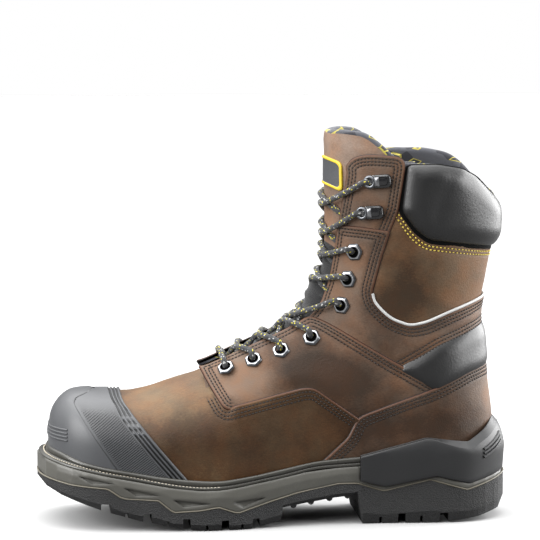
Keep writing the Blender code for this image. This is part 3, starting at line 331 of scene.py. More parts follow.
def on_last(t, v):
    """Points of the last, in millimetres."""
    t, v = np.broadcast_arrays(np.asarray(t, float), np.asarray(v, float))
    a = np.clip(np.abs(v), 0, 1)
    widest, square = section["widest"](t), section["square"](t)
    half, _, end = section_girth(t, v)
    rise = np.pi / 2 * np.minimum(a / UPPER_SHARE, 1)
    fall = end * np.clip((a - UPPER_SHARE) / (1 - UPPER_SHARE), 0, 1)
    share_up = widest * (1 - np.clip(np.cos(rise), 0, 1) ** (2 / square))
    share_low = widest + (1 - widest) * np.sin(fall) / np.sin(end)
    share = np.where(a <= UPPER_SHARE, share_up, share_low)
    out = half * np.where(a <= UPPER_SHARE, np.sin(rise) ** (2 / square), np.cos(fall))
    top, base = ends_of(t)
    flat = top + (base - top) * share[..., None]
    y = section["centre"](t) + side_of(v) * out
    return np.stack([flat[..., 0], y, flat[..., 1]], -1)


def normal_of(t, v):
    """Outward normals of the last."""
    t, v = np.broadcast_arrays(np.asarray(t, float), np.asarray(v, float))
    dt, dv = 0.03, 0.012
    along = on_last(np.clip(t + dt, 0, LAST_ROW), v) - on_last(np.clip(t - dt, 0.001, LAST_ROW), v)
    low, high = np.clip(v - dv, -1, 1), np.clip(v + dv, -1, 1)
    low = np.where((v > 0) & (v < 2 * dv) | (v == 0), -high, low)
    high = np.where((v < 0) & (v > -2 * dv), -low, high)
    across = on_last(t, high) - on_last(t, low)
    normal = np.cross(along, across)
    length = np.linalg.norm(normal, axis=-1, keepdims=True)
    normal = normal / np.maximum(length, 1e-9)
    tip = np.array([-1.0, 0, 0.15]) / math.hypot(1, 0.15)
    return np.where((length < 1e-9) | (t[..., None] < 0.002), tip, normal)


def off_last(t, v, face):
    """Points over the last, raised by face."""
    return on_last(t, v) + normal_of(t, v) * np.asarray(face, float)[..., None]


def lean(t, v):
    """Distance of a point of the last from the boot's middle."""
    return np.abs(on_last(t, v)[..., 1] - section["centre"](t))


def across_at(t, y):
    """The place v, on the upper half of a section, that lies a signed distance y from its middle."""
    t, y = np.broadcast_arrays(np.asarray(t, float), np.asarray(y, float))
    half, _, _ = section_girth(t, y)
    reach = np.clip(np.abs(y) / np.maximum(half, 1e-9), 0, 1)
    return side_of(y) * UPPER_SHARE * np.arcsin(reach ** (section["square"](t) / 2)) / (np.pi / 2)


ROWS = np.linspace(0, LAST_ROW, 801)
ROW_TOPS, ROW_BASES = ends_of(ROWS)
print("last:", on_last(np.array([0.0, 6.0, 12.0]), np.array([-0.5, 0.0, -1.0])).round(1).tolist())

# %% [markdown]
# A pattern cutter works flat. Each half of the last is unrolled section by section into a flat sheet,
# where a millimetre is close to a millimetre on the boot. Outlines measured in the side view are carried
# to that sheet, filled with triangles, and carried back, so each panel has a clean edge and even facets.

# %% Flat patterns
GIRTH_STEPS = np.linspace(0, 1, 121)
AT_ONCE = 1500      # points measured in one go, so that the tables stay small


def girth_table(side):
    points = on_last(ROWS[:, None], side * np.maximum(GIRTH_STEPS, 1e-6)[None, :])
    steps = np.linalg.norm(np.diff(points, axis=1), axis=2)
    return np.concatenate([np.zeros((len(ROWS), 1)), np.cumsum(steps, 1)], 1)


GIRTHS = {side: girth_table(side) for side, _ in SIDES}


def girth_row(t, side):
    place = np.clip(np.asarray(t, float) / LAST_ROW * (len(ROWS) - 1), 0, len(ROWS) - 1.001)
    low = place.astype(int)
    blend = (place - low)[..., None]
    return GIRTHS[side][low] * (1 - blend) + GIRTHS[side][low + 1] * blend


def row_through(points):
    """The row whose line passes through each point of the side view or of the flat sheet."""
    along = ROW_BASES - ROW_TOPS
    aside = ((points[:, None, 0] - ROW_TOPS[:, 0]) * along[:, 1]
             - (points[:, None, 1] - ROW_TOPS[:, 1]) * along[:, 0])
    change = np.sign(aside[:, :-1]) != np.sign(aside[:, 1:])
    first = np.where(change.any(1), change.argmax(1), np.abs(aside).argmin(1).clip(0, len(ROWS) - 2))
    n = np.arange(len(points))
    a, b = aside[n, first], aside[n, first + 1]
    blend = np.where(change.any(1), a / np.where(a == b, 1, a - b), 0.0)
    return ROWS[first] + blend * (ROWS[1] - ROWS[0])


def from_side_view(points):
    """Rows and places a, from 0 to 1, of points measured in the side view."""
    points = np.asarray(points, float)
    t = row_through(points)
    top, base = ends_of(t)
    line = base - top
    share = np.clip(((points - top) * line).sum(1) / (line**2).sum(1), 0, 1)
    widest, square = section["widest"](t), section["square"](t)
    _, _, end = section_girth(t, np.full(len(t), -1.0))
    up = np.arccos(np.clip(1 - share / widest, 0, 1) ** (square / 2)) / (np.pi / 2) * UPPER_SHARE
    down = np.arcsin(np.clip((share - widest) / (1 - widest), 0, 1) * np.sin(end)) / end
    return t, np.where(share <= widest, up, UPPER_SHARE + (1 - UPPER_SHARE) * down)


def unit(vectors):
    return vectors / np.maximum(np.linalg.norm(vectors, axis=-1, keepdims=True), 1e-9)


def steps_along(path):
    """Distance along a path, at each of its points."""
    return np.concatenate([[0], np.cumsum(np.linalg.norm(np.diff(path, axis=0), axis=1))])


def flatten(t, a, side):
    """Places on the flat sheet of one half."""
    rows = girth_row(t, side)
    place = np.clip(np.asarray(a) * (len(GIRTH_STEPS) - 1), 0, len(GIRTH_STEPS) - 1.001)
    low = place.astype(int)
    n = np.arange(len(low))
    girth = rows[n, low] + (place - low) * (rows[n, low + 1] - rows[n, low])
    top, base = ends_of(np.asarray(t))
    line = unit(base - top)
    return top + line * girth[:, None]


def unflatten(points, side):
    """Rows and places a of points on the flat sheet."""
    t = row_through(points)
    top, base = ends_of(t)
    line = unit(base - top)
    girth = ((points - top) * line).sum(1)
    rows = girth_row(t, side)
    return t, np.array([np.interp(g, row, GIRTH_STEPS) for g, row in zip(girth, rows)])


def rounded(points, radius=2.0, spacing=1.1):
    """A polyline with its corners rounded, in even steps."""
    points = [np.asarray(p, float) for p in points]
    path = [points[0]]
    for last, point, following in zip(points, points[1:], points[2:]):
        before, after = last - point, following - point
        reach = min(radius, 0.45 * np.linalg.norm(before), 0.45 * np.linalg.norm(after))
        start = point + before / np.linalg.norm(before) * reach
        end = point + after / np.linalg.norm(after) * reach
        for s in np.linspace(0, 1, 5):
            path.append(start * (1 - s) ** 2 + 2 * point * s * (1 - s) + end * s * s)
    return even(np.array(path + points[-1:]), spacing)


def even(path, spacing):
    """The same path in even steps."""
    path = np.asarray(path, float)
    lengths = steps_along(path)
    count = max(2, int(round(lengths[-1] / spacing)) + 1)
    at = np.linspace(0, lengths[-1], count)
    return np.stack([np.interp(at, lengths, path[:, i]) for i in range(path.shape[1])], 1)


def distance_to_pieces(points, starts, ends):
    """Distance of each point to the nearest of some straight pieces."""
    ways = ends - starts
    best = np.full(len(points), 1e9)
    for first in range(0, len(points), AT_ONCE):
        chunk = points[first:first + AT_ONCE]
        along = ((chunk[:, None] - starts) * ways).sum(2) / np.maximum((ways**2).sum(1), 1e-12)
        near = starts + np.clip(along, 0, 1)[..., None] * ways
        best[first:first + AT_ONCE] = np.linalg.norm(chunk[:, None] - near, axis=2).min(1)
    return best


def distance_to(points, path):
    """Distance of each point to a polyline."""
    return distance_to_pieces(points, path[:-1], path[1:])


def inside(points, loop):
    """Which points lie in a closed loop."""
    x, y = points[:, 0], points[:, 1]
    odd = np.zeros(len(points), bool)
    for (x0, y0), (x1, y1) in zip(loop, np.roll(loop, -1, 0)):
        crosses = (y0 > y) != (y1 > y)
        odd ^= crosses & (x < (x1 - x0) * (y - y0) / (y1 - y0 if y1 != y0 else 1e-12) + x0)
    return odd


def beside(path, offset):
    """A path moved sideways, to its left when offset is positive, without the loops that corners make."""
    along = unit(np.gradient(path, axis=0))
    moved = path + np.stack([-along[:, 1], along[:, 0]], 1) * offset
    return moved[distance_to(moved, path) > abs(offset) * 0.97]


def smooth_step(x):
    x = np.clip(x, 0, 1)
    return x * x * (3 - 2 * x)


def flap_lift(t, offset):
    """How far a flap stands up beside the throat."""
    reach = np.clip(1 - (offset - throat["half"](t)) / THROAT_LIFT_REACH, 0, 1)
    return throat["lift"](t) * smooth_step(reach)


print("girth at the ball:", round(float(GIRTHS[LATERAL][240, -1]), 1), "mm")

# %% [markdown]
# Finishes share a few effects, and each effect is one node group: the cloudy colour of oiled leather, a
# fine grain, the dust and rubbing on rubber, and a woven cloth. A group only works out colours and
# values. The shader stays in each material, where its own numbers are easy to find.

# %% Node groups
COLOUR, NUMBER = "NodeSocketColor", "NodeSocketFloat"


def node_group(name, inputs, outputs):
    tree = bpy.data.node_groups.new(name, "ShaderNodeTree")
    for label, kind, default in inputs:
        socket = tree.interface.new_socket(label, in_out="INPUT", socket_type=kind)
        socket.default_value = default
    for label, kind in outputs:
        tree.interface.new_socket(label, in_out="OUTPUT", socket_type=kind)
    made = Tree(tree)
    return made, made.node("NodeGroupInput").outputs, made.node("NodeGroupOutput").inputs


def leather_group():
    """Cloudy oiled leather with raw edges, and painted light and shade: dark stitch furrows, black edge feet.
    """
    inputs = (("Dark", COLOUR, grey(0.02)), ("Middle", COLOUR, grey(0.1)), ("Light", COLOUR, grey(0.2)),
              ("Edge", COLOUR, grey(0.2)), ("Rim", NUMBER, 0.0), ("Furrow", NUMBER, 0.0),
              ("Worn", NUMBER, 0.0))
    tree, given, out = node_group("oiled leather", inputs, (("Colour", COLOUR), ("Dull", NUMBER)))
    place = tree.place()
    clouds = tree.noise(place, 20.0, 3.0, 0.5)
    patches = tree.noise(tree.place(shift=(0.4, 0.1, 0.7)), 85.0, 3.0, 0.6)
    fibres = tree.noise(tree.place(scale=(0.45, 0.8, 1.0), turn=(0.3, 0.5, 0.2)), 1150.0, 3.0, 0.7)
    blend = tree.math("ADD", tree.math("MULTIPLY", clouds, 0.60), tree.math("MULTIPLY", patches, 0.22))
    blend = tree.math("ADD", blend, tree.math("MULTIPLY", fibres, 0.28))
    # Painted light and shade: the tone from the meshes makes the leather paler or darker.
    blend = tree.math("ADD", blend, given["Worn"])
    low = tree.range(blend, 0.31, 0.57)
    high = tree.range(blend, 0.53, 0.81)
    colour = tree.mix(high, tree.mix(low, given["Dark"], given["Middle"]), given["Light"])
    hue = tree.range(tree.noise(tree.place(shift=(0.2, 0.6, 0.3)), 48.0, 3.0, 0.6), 0.38, 0.62)
    tint = tree.mix(hue, (0.93, 1.0, 1.07, 1), (1.10, 0.96, 0.84, 1))
    colour = tree.vector("MULTIPLY", colour, tint)[0]
    # Painted shade: the colour darkens towards Dark in the stitch furrows.
    colour = tree.mix(given["Furrow"], colour, tree.mix(0.72, colour, given["Dark"]))
    colour = tree.mix(tree.range(given["Rim"], 0.0, 1.0), colour, given["Edge"])
    # Painted contact shadow: where the rim passes 1 (lower cut edge, underside, skirt) the colour goes near
    # black.
    foot = tree.range(given["Rim"], 1.05, 1.5)
    tree.join(tree.mix(foot, colour, (0.004, 0.0025, 0.002, 1)), out["Colour"])
    tree.join(tree.range(blend, 0.35, 0.8), out["Dull"])
    return tree.tree


def grain_group():
    """Height of a fine skin grain: small cells with finer crumbs on them."""
    inputs = (("Cells", NUMBER, 900.0), ("Crumbs", NUMBER, 2600.0), ("Share", NUMBER, 0.5))
    tree, given, out = node_group("skin grain", inputs, (("Height", NUMBER),))
    place = tree.place()
    values = {"Vector": place, "Scale": 260.0, "Detail": 2.0}
    wander = tree.node("ShaderNodeTexNoise", values).outputs["Color"]
    bent = tree.vector("MULTIPLY", wander, (0.0018, 0.0018, 0.0018))[0]
    moved = tree.vector("ADD", place, bent)[0]
    cells = tree.node("ShaderNodeTexVoronoi", {"Vector": moved, "Scale": given["Cells"]}).outputs["Distance"]
    crumbs = tree.noise(place, given["Crumbs"], 2.0)
    mixed = tree.math("ADD", tree.math("MULTIPLY", cells, given["Share"]), tree.math("MULTIPLY", crumbs, 0.5))
    tree.join(mixed, out["Height"])
    return tree.tree


def rubber_group():
    """Colour of moulded rubber: faint clouds, and pale dust."""
    inputs = (("Base", COLOUR, grey(0.03)), ("Dust", COLOUR, grey(0.2)), ("Amount", NUMBER, 0.2))
    tree, given, out = node_group("moulded rubber", inputs, (("Colour", COLOUR), ("Dull", NUMBER)))
    clouds = tree.noise(tree.place(), 34.0, 4.0, 0.6)
    specks = tree.noise(tree.place(shift=(0.2, 0.5, 0.1)), 900.0, 2.0, 0.6)
    dusty = tree.math("MULTIPLY", tree.range(clouds, 0.42, 0.72), tree.range(specks, 0.35, 0.75))
    dusty = tree.math("MULTIPLY", dusty, given["Amount"], clamp=True)
    tree.join(tree.mix(dusty, given["Base"], given["Dust"]), out["Colour"])
    tree.join(tree.range(clouds, 0.3, 0.75), out["Dull"])
    return tree.tree


def weave_group():
    """A woven cloth: its height, and a print of polygons in two tones, some of them outlined or filled."""
    inputs = (("Ground", COLOUR, grey(0.05)), ("Shade", COLOUR, grey(0.1)), ("Fleck", COLOUR, grey(0.5)),
              ("Threads", NUMBER, 620.0), ("Flecks", NUMBER, 0.5))
    tree, given, out = node_group("woven cloth", inputs, (("Colour", COLOUR), ("Height", NUMBER)))
    place = tree.place(turn=(0.0, 0.62, 0.3))
    waves = []
    for direction in ("X", "Z"):
        values = {"Vector": place, "Scale": given["Threads"], "Distortion": 0.6, "Detail": 1.0}
        waves.append(tree.node("ShaderNodeTexWave", values, bands_direction=direction).outputs["Fac"])
    height = tree.math("MAXIMUM", *waves)
    flat_cells = tree.place(scale=(105.0, 105.0, 190.0), turn=(0.3, 0.35, 0.2))
    values = {"Vector": flat_cells, "Scale": 1.0}
    cells = tree.node("ShaderNodeTexVoronoi", values)
    borders = tree.node("ShaderNodeTexVoronoi", values, feature="DISTANCE_TO_EDGE")
    tone = tree.node("ShaderNodeSeparateColor", {0: cells.outputs["Color"]}).outputs
    near = tree.range(borders.outputs["Distance"], 0.085, 0.055)
    chosen = tree.math("LESS_THAN", tone[0], given["Flecks"])
    filled = tree.math("LESS_THAN", tone[2], tree.math("MULTIPLY", given["Flecks"], 0.16))
    fleck = tree.math("MAXIMUM", tree.math("MULTIPLY", near, chosen), filled)
    blocks = tree.math("GREATER_THAN", tone[1], 0.52)
    ground = tree.mix(blocks, given["Ground"], given["Shade"])
    ground = tree.mix(tree.math("MULTIPLY", height, 0.35), ground, grey(0.0), "MULTIPLY")
    tree.join(tree.mix(fleck, ground, given["Fleck"]), out["Colour"])
    tree.join(height, out["Height"])
    return tree.tree


LEATHER_GROUP, GRAIN_GROUP = leather_group(), grain_group()
RUBBER_GROUP, WEAVE_GROUP = rubber_group(), weave_group()
print("node groups:", len(bpy.data.node_groups))

# %% [markdown]
# A finish is a Principled shader with its own plain numbers, fed by the groups. Bump carries the grain
# that is too fine for geometry. The attributes rim and furrow come from the meshes: they mark cut edges
# and the troughs that stitches pull into the leather, and on the toe cap its grooves, the field between
# its ribs and the line at the foot of its step. The finishes paint what furrow marks darker, as painted
# shade, and paint a rim above 1 near black, as painted contact shadow; the attribute tone brings painted
# light and shade to the leather. The midsole keeps its facets, so its finish rounds the normals across
# them.

# %% Finishes
def finish(name, roughness, **numbers):
    """A new material: its tree, and its shader's inputs."""
    made = bpy.data.materials.new(name)
    made.use_nodes = True
    shader = made.node_tree.nodes["Principled BSDF"]
    shader.inputs["Roughness"].default_value = roughness
    for label, value in numbers.items():
        shader.inputs[label.replace("_", " ").title().replace("Ior", "IOR")].default_value = value
    return made, Tree(made.node_tree), shader.inputs


def place_group(tree, group, **values):
    return tree.node("ShaderNodeGroup", values, node_tree=group).outputs


def attribute(tree, name):
    return tree.node("ShaderNodeAttribute", attribute_name=name).outputs["Fac"]


def bump(tree, inputs, height, strength, distance, rounding=0.0):
    made = tree.node("ShaderNodeBump", {"Height": height, "Strength": strength, "Distance": distance})
    if rounding:
        soft = tree.node("ShaderNodeBevel", {"Radius": rounding}, samples=8)
        tree.join(soft.outputs[0], made.inputs["Normal"])
    tree.join(made.outputs[0], inputs["Normal"])


def leather(name, dark, middle, light, tone_shift=0.0, roughness=(0.42, 0.66)):
    made, tree, inputs = finish(name, 0.55, specular_ior_level=0.28)
    # The attribute tone carries painted light and shade; the shift given here only moves a whole leather's
    # colour.
    outputs = place_group(tree, LEATHER_GROUP, Dark=dark, Middle=middle, Light=light, Edge=RAW_EDGE,
                          Rim=attribute(tree, "rim"), Furrow=attribute(tree, "furrow"),
                          Worn=tree.math("ADD", attribute(tree, "tone"), tone_shift))
    tree.join(outputs["Colour"], inputs["Base Color"])
    tree.join(tree.range(outputs["Dull"], 0, 1, *roughness), inputs["Roughness"])
    grain = place_group(tree, GRAIN_GROUP, Cells=820.0, Crumbs=2300.0, Share=0.45)
    bump(tree, inputs, grain["Height"], 0.32, 0.0006)
    return made


def rubber(name, base, dust, amount, roughness, grain=None, shaded_furrows=False, rounding=0.0, **numbers):
    made, tree, inputs = finish(name, 0.5, **numbers)
    outputs = place_group(tree, RUBBER_GROUP, Base=base, Dust=dust, Amount=amount)
    colour = outputs["Colour"]
    # Painted shade: where the attribute furrow marks grooves, the colour goes near black.
    if shaded_furrows:
        colour = tree.mix(attribute(tree, "furrow"), colour, grey(0.004))
    tree.join(colour, inputs["Base Color"])
    tree.join(tree.range(outputs["Dull"], 0, 1, *roughness), inputs["Roughness"])
    if grain:
        cells, crumbs, strength, distance = grain
        height = place_group(tree, GRAIN_GROUP, Cells=cells, Crumbs=crumbs, Share=0.5)["Height"]
        bump(tree, inputs, height, strength, distance, rounding)
    return made


def cloth(name, ground, shade, fleck, threads, flecks, strength=0.5):
    made, tree, inputs = finish(name, 0.85, sheen_weight=0.15, sheen_roughness=0.5)
    outputs = place_group(tree, WEAVE_GROUP, Ground=ground, Shade=shade, Fleck=fleck, Threads=threads,
                          Flecks=flecks)
    tree.join(outputs["Colour"], inputs["Base Color"])
    bump(tree, inputs, outputs["Height"], strength, 0.0004)
    return made


RAW_EDGE = (0.085, 0.030, 0.013, 1)
brown = leather("oiled brown leather", (0.034, 0.0195, 0.0118, 1), (0.084, 0.0500, 0.0315, 1),
                (0.165, 0.104, 0.069, 1))
vamp_brown = leather("oiled vamp leather", (0.030, 0.0148, 0.0060, 1), (0.068, 0.0360, 0.0150, 1),
                     (0.152, 0.094, 0.047, 1))
shaft_brown = leather("oiled shaft leather", (0.038, 0.0215, 0.0112, 1), (0.104, 0.0600, 0.0310, 1),
                      (0.165, 0.100, 0.056, 1), -0.02)
tongue_brown = leather("tongue leather", (0.107, 0.0670, 0.0450, 1), (0.218, 0.142, 0.099, 1),
                       (0.294, 0.202, 0.150, 1))
thread = rubber("brown thread", (0.007, 0.0045, 0.003, 1), (0.03, 0.018, 0.012, 1), 0.4, (0.55, 0.7))
yellow_thread = rubber("yellow thread", (0.58, 0.44, 0.060, 1), (0.75, 0.64, 0.25, 1), 0.5, (0.5, 0.65))
cream_thread = rubber("cream thread", (0.36, 0.32, 0.25, 1), (0.5, 0.46, 0.36, 1), 0.5, (0.55, 0.7))
cap_rubber = rubber("toe cap rubber", (0.055, 0.057, 0.061, 1), (0.082, 0.084, 0.088, 1), 0.35,
                    (0.38, 0.48), (1500.0, 4200.0, 0.12, 0.0003), shaded_furrows=True)
heel_rubber = rubber("stabilizer rubber", (0.015, 0.0153, 0.0162, 1), (0.032, 0.033, 0.034, 1), 0.3,
                     (0.38, 0.48), (1500.0, 4200.0, 0.1, 0.0003))
tread_rubber = rubber("tread rubber", (0.0090, 0.0090, 0.0094, 1), (0.028, 0.028, 0.027, 1), 0.7,
                      (0.62, 0.8), (1100.0, 2600.0, 0.9, 0.0007))
olive_rubber = rubber("midsole rubber", (0.072, 0.070, 0.061, 1), (0.108, 0.105, 0.092, 1), 0.6,
                      (0.36, 0.52), (700.0, 3000.0, 0.12, 0.0003), rounding=0.0028)
welt_rubber = rubber("welt rubber", (0.036, 0.035, 0.030, 1), (0.068, 0.066, 0.057, 1), 0.4, (0.24, 0.36))
tan_rubber = rubber("parting line rubber", (0.105, 0.094, 0.070, 1), (0.16, 0.145, 0.112, 1), 0.5,
                    (0.5, 0.65))
padding = rubber("black padded synthetic", (0.008, 0.008, 0.0083, 1), grey(0.016), 0.3, (0.34, 0.44),
                 (620.0, 1900.0, 0.2, 0.0005), specular_ior_level=0.6)
# Painted shadow: the matt black skirt and cut edge round the pads.
pad_edge_shadow = rubber("painted pad edge shadow", grey(0.002), grey(0.003), 0.1, (0.8, 0.9), specular_ior_level=0.1)
piping_tape = rubber("reflective tape", (0.44, 0.445, 0.44, 1), (0.56, 0.56, 0.55, 1), 0.6, (0.28, 0.42))
lining_cloth = cloth("lining cloth", (0.026, 0.027, 0.036, 1), (0.082, 0.085, 0.100, 1),
                     (0.40, 0.34, 0.05, 1), 640.0, 0.35)
black_cloth = cloth("black tongue cloth", (0.008, 0.008, 0.009, 1), (0.012, 0.012, 0.013, 1), grey(0.02),
                    900.0, 0.2)
foam_cloth = cloth("insole cloth", (0.03, 0.03, 0.033, 1), (0.045, 0.045, 0.05, 1), grey(0.09), 700.0, 0.1)
print("finishes:", len(bpy.data.materials))

# %% [markdown]
# Most pieces are leather panels. The maker below takes a closed outline on the flat sheet, sets rings of
# points just inside its edge so that the edge can round over, fills the middle with an even net, and
# joins all of it with a Delaunay triangulation. The sheet is then wrapped on the last at the height of
# the panel's face, and closed with an underside, a cut edge and a thin skirt outside it; the skirt and
# the cut edge's lower part are painted black, as painted contact shadow. Panels that wrap right round
# are made as two halves that share the points of the middle line. A few zones of tone are placed in the
# side view, and the leather is painted paler towards the top: this is mostly painted light and shade,
# like the light and dark in a drawing, and partly the leather's own paler and darker patches.

# %% Panel maker
EDGE_STEP, SEAM_STEP, ROW_STEP = 1.1, 1.8, 0.8
EDGE_RADIUS = 0.8
FURROW_WIDTH = 0.62
SAME_SPOT, TOO_CLOSE = 0.35, 0.55
# A thin black skirt outside each cut edge, as painted contact shadow: how far it reaches and how high it
# lies.
SHADOW_SKIRT_REACH, SHADOW_SKIRT_HEIGHT, THINNEST = 0.6, 0.12, 0.25
# Strength of the zones of tone, and how much paler the leather is painted per millimetre up, as painted
# light.
ZONE_STRENGTH, PAINTED_LIGHT_RISE = 1.3, 0.0009
# Zones of tone, mostly painted light and shade: middle in the side view, width, height, and how much paler.
LIGHT_SHADE_AND_TONE_ZONES = (
    (-78, 81, 24, 13, 0.16), (-52, 84, 16, 14, 0.10), (-36, 62, 18, 12, -0.07), (-70, 58, 14, 10, -0.08),
    (29, 101, 22, 11, -0.37), (48, 92, 16, 11, -0.15), (-21, 94, 17, 12, 0.36), (81, 145, 16, 14, -0.20),
    (84, 168, 14, 16, -0.08), (126, 163, 16, 24, 0.12), (48, 162, 13, 28, 0.15), (110, 120, 20, 8, 0.14),
    (84, 64, 38, 15, -0.17), (141, 80, 12, 20, 0.16), (66, 222, 14, 10, 0.08),
)


def cut_line(points, radius=2.5):
    """Part of an outline, from points measured in the side view."""
    t, a = from_side_view(rounded(points, radius))
    return "cut", t, a


def throat_line(first, last):
    """Part of an outline along the edge of the throat."""
    t = np.linspace(first, last, max(4, int(abs(last - first) * 14)))
    return "cut", t, np.abs(across_at(t, -throat["half"](t)))


def row_line(t, first, last):
    """Part of an outline across one row, between two distances from the middle."""
    y = np.linspace(first, last, 12)
    return "cut", np.full(len(y), t), np.abs(across_at(t, -np.maximum(y, 1e-3)))


def top_seam(first, last):
    """The middle line over the top, where the two halves meet."""
    t = np.linspace(first, last, 300)
    line = even(np.column_stack([ends_of(t)[0], t]), SEAM_STEP)
    return "seam", line[:, 2], np.zeros(len(line))


def back_seam(first_z, last_z):
    """The middle line down the back, where the two halves meet."""
    rows = ROWS[ROWS >= HEEL_CORNER_ROW]
    z = np.linspace(first_z, last_z, max(4, int(abs(last_z - first_z) / SEAM_STEP)))
    return "seam", np.interp(z, section["base_z"](rows), rows), np.ones(len(z))


class Half:
    """One half of a panel: an outline on the flat sheet, and what is filled into it."""

    def __init__(self, side, parts, soften=4):
        self.side = side
        ts, places, kinds, flat, self.spans = [], [], [], [], []
        for kind, t, a in parts:
            q = flatten(np.asarray(t, float), np.asarray(a, float), side)
            if kind == "cut":
                q = even(q, EDGE_STEP)
                t, a = unflatten(q, side)
            start = len(ts)
            meets = bool(flat) and np.linalg.norm(q[0] - flat[-1]) < SAME_SPOT
            skip = 1 if meets and kind == "cut" else 0
            if meets and not skip:
                for stack in (ts, places, kinds, flat):
                    stack.pop()
                start -= 1
            ts += list(t[skip:])
            places += list(a[skip:])
            kinds += [kind] * (len(t) - skip)
            flat += list(q[skip:])
            self.spans.append((start, len(ts)))
        if np.linalg.norm(flat[0] - flat[-1]) < SAME_SPOT:
            drop = 0 if kinds[0] == "cut" else len(flat) - 1
            for stack in (ts, places, kinds, flat):
                stack.pop(drop)
            if drop == 0:
                self.spans = [(max(0, s - 1), e - 1) for s, e in self.spans]
        self.t, self.a = np.array(ts), np.array(places)
        self.loop, self.seam = np.array(flat), np.array([kind == "seam" for kind in kinds])
        self.soften(soften)

    def soften(self, times):
        """Rounds the corners that are cut, and leaves the seams."""
        fixed = self.seam | np.roll(self.seam, 1) | np.roll(self.seam, -1)
        for _ in range(times):
            middle = (np.roll(self.loop, 1, 0) + np.roll(self.loop, -1, 0)) / 2
            self.loop = np.where(fixed[:, None], self.loop, self.loop * 0.5 + middle * 0.5)
        t, a = unflatten(self.loop, self.side)
        self.t, self.a = np.where(fixed, self.t, t), np.where(fixed, self.a, a)

    def edge(self, *parts):
        """The path along one or more parts of the outline."""
        return np.concatenate([self.loop[self.spans[i][0]:self.spans[i][1]] for i in parts])

    def row(self, offset, *parts):
        """A path that runs inside the outline, a given distance from some of its parts."""
        return even(beside(even(self.edge(*parts), ROW_STEP), offset), ROW_STEP)


def net(half, lines, spacing, rings):
    """Fills a half with triangles. Gives rows, places, flat points, distances to the cut edge, faces, and
    the outline's order."""
    count = len(half.loop)
    whole = np.vstack([half.loop, half.loop[:1]])
    sewn_on = half.seam & np.roll(half.seam, -1)
    starts, ends = whole[:-1][~sewn_on], whole[1:][~sewn_on]
    added = []
    for d in rings:
        ring = beside(whole, d)
        ring = ring[inside(ring, half.loop)]
        clear = distance_to(ring, whole) > min(d, 0.6) * 0.9
        added.append(ring[(distance_to_pieces(ring, starts, ends) > d * 0.9) & clear])
    for line in lines:
        for offset in (-0.8, 0.0, 0.8):
            strip = beside(line, offset) if offset else line
            strip = even(strip, 1.3)
            strip = strip[inside(strip, half.loop)]
            added.append(strip[distance_to(strip, whole) > 0.7])
    low, high = half.loop.min(0), half.loop.max(0)
    grid = []
    for j, z in enumerate(np.arange(low[1], high[1], spacing * 0.866)):
        xs = np.arange(low[0] + (j % 2) * spacing / 2, high[0], spacing)
        grid.append(np.column_stack([xs, np.full(len(xs), z)]))
    grid = np.concatenate(grid)
    grid = grid[inside(grid, half.loop)]
    grid = grid[distance_to(grid, whole) > max(max(rings) + spacing * 0.5, spacing * 0.6)]
    for line in lines:
        grid = grid[distance_to(grid, line) > 0.8 + spacing * 0.45]
    added.append(grid)
    points = thin(np.concatenate([half.loop] + added), count)
    made = delaunay_2d_cdt([Vector(p) for p in points], [], [list(range(count))], 1, 1e-6)
    coords, faces, origins = np.array([tuple(v) for v in made[0]]), made[2], made[3]
    t, a = unflatten(coords, half.side)
    order = [None] * count
    for i, source in enumerate(origins):
        for k in source:
            if k < count:
                order[k] = i
                t[i], a[i] = half.t[k], half.a[k]
    return t, a, coords, distance_to_pieces(coords, starts, ends), faces, order


def thin(points, keep):
    """Leaves out points that nearly fall on earlier ones."""
    seen, kept = {}, []
    for i, point in enumerate(points):
        key = (int(point[0] // TOO_CLOSE), int(point[1] // TOO_CLOSE))
        near = [seen.get((key[0] + dx, key[1] + dy)) for dx in (-1, 0, 1) for dy in (-1, 0, 1)]
        if i >= keep and any(n is not None and np.hypot(*(points[n] - point)) < TOO_CLOSE for n in near):
            continue
        seen[key] = i
        kept.append(point)
    return np.array(kept)


def mesh_object(name, verts, faces, materials, slots=None, values=None, weld=0.0, angle=50.0):
    """An object from points in millimetres, with values stored at its points."""
    data = bpy.data.meshes.new(name)
    data.from_pydata((np.asarray(verts) * MM).tolist(), [], faces)
    for made in materials:
        data.materials.append(made)
    if slots is not None:
        data.polygons.foreach_set("material_index", np.asarray(slots, np.int32))
    for label, numbers in (values or {}).items():
        stored = data.attributes.new(label, "FLOAT", "POINT")
        stored.data.foreach_set("value", np.asarray(numbers, np.float32))
    if weld:
        mesh = bmesh.new()
        mesh.from_mesh(data)
        bmesh.ops.remove_doubles(mesh, verts=mesh.verts, dist=weld * MM)
        bmesh.ops.dissolve_degenerate(mesh, edges=mesh.edges, dist=1e-7)
        mesh.to_mesh(data)
        mesh.free()
    data.validate()
    data.shade_smooth()
    data.set_sharp_from_angle(angle=math.radians(angle))
    obj = bpy.data.objects.new(name, data)
    scene.collection.objects.link(obj)
    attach(obj, "root")
    return obj


def outward(obj):
    """Turns all faces of a closed mesh outwards."""
    mesh = bmesh.new()
    mesh.from_mesh(obj.data)
    bmesh.ops.recalc_face_normals(mesh, faces=mesh.faces)
    mesh.to_mesh(obj.data)
    mesh.free()


def add_part(verts, faces, part, part_faces):
    """Adds the points and faces of a part to a mesh in the making."""
    faces += [tuple(len(verts) + i for i in face) for face in part_faces]
    verts += list(part)


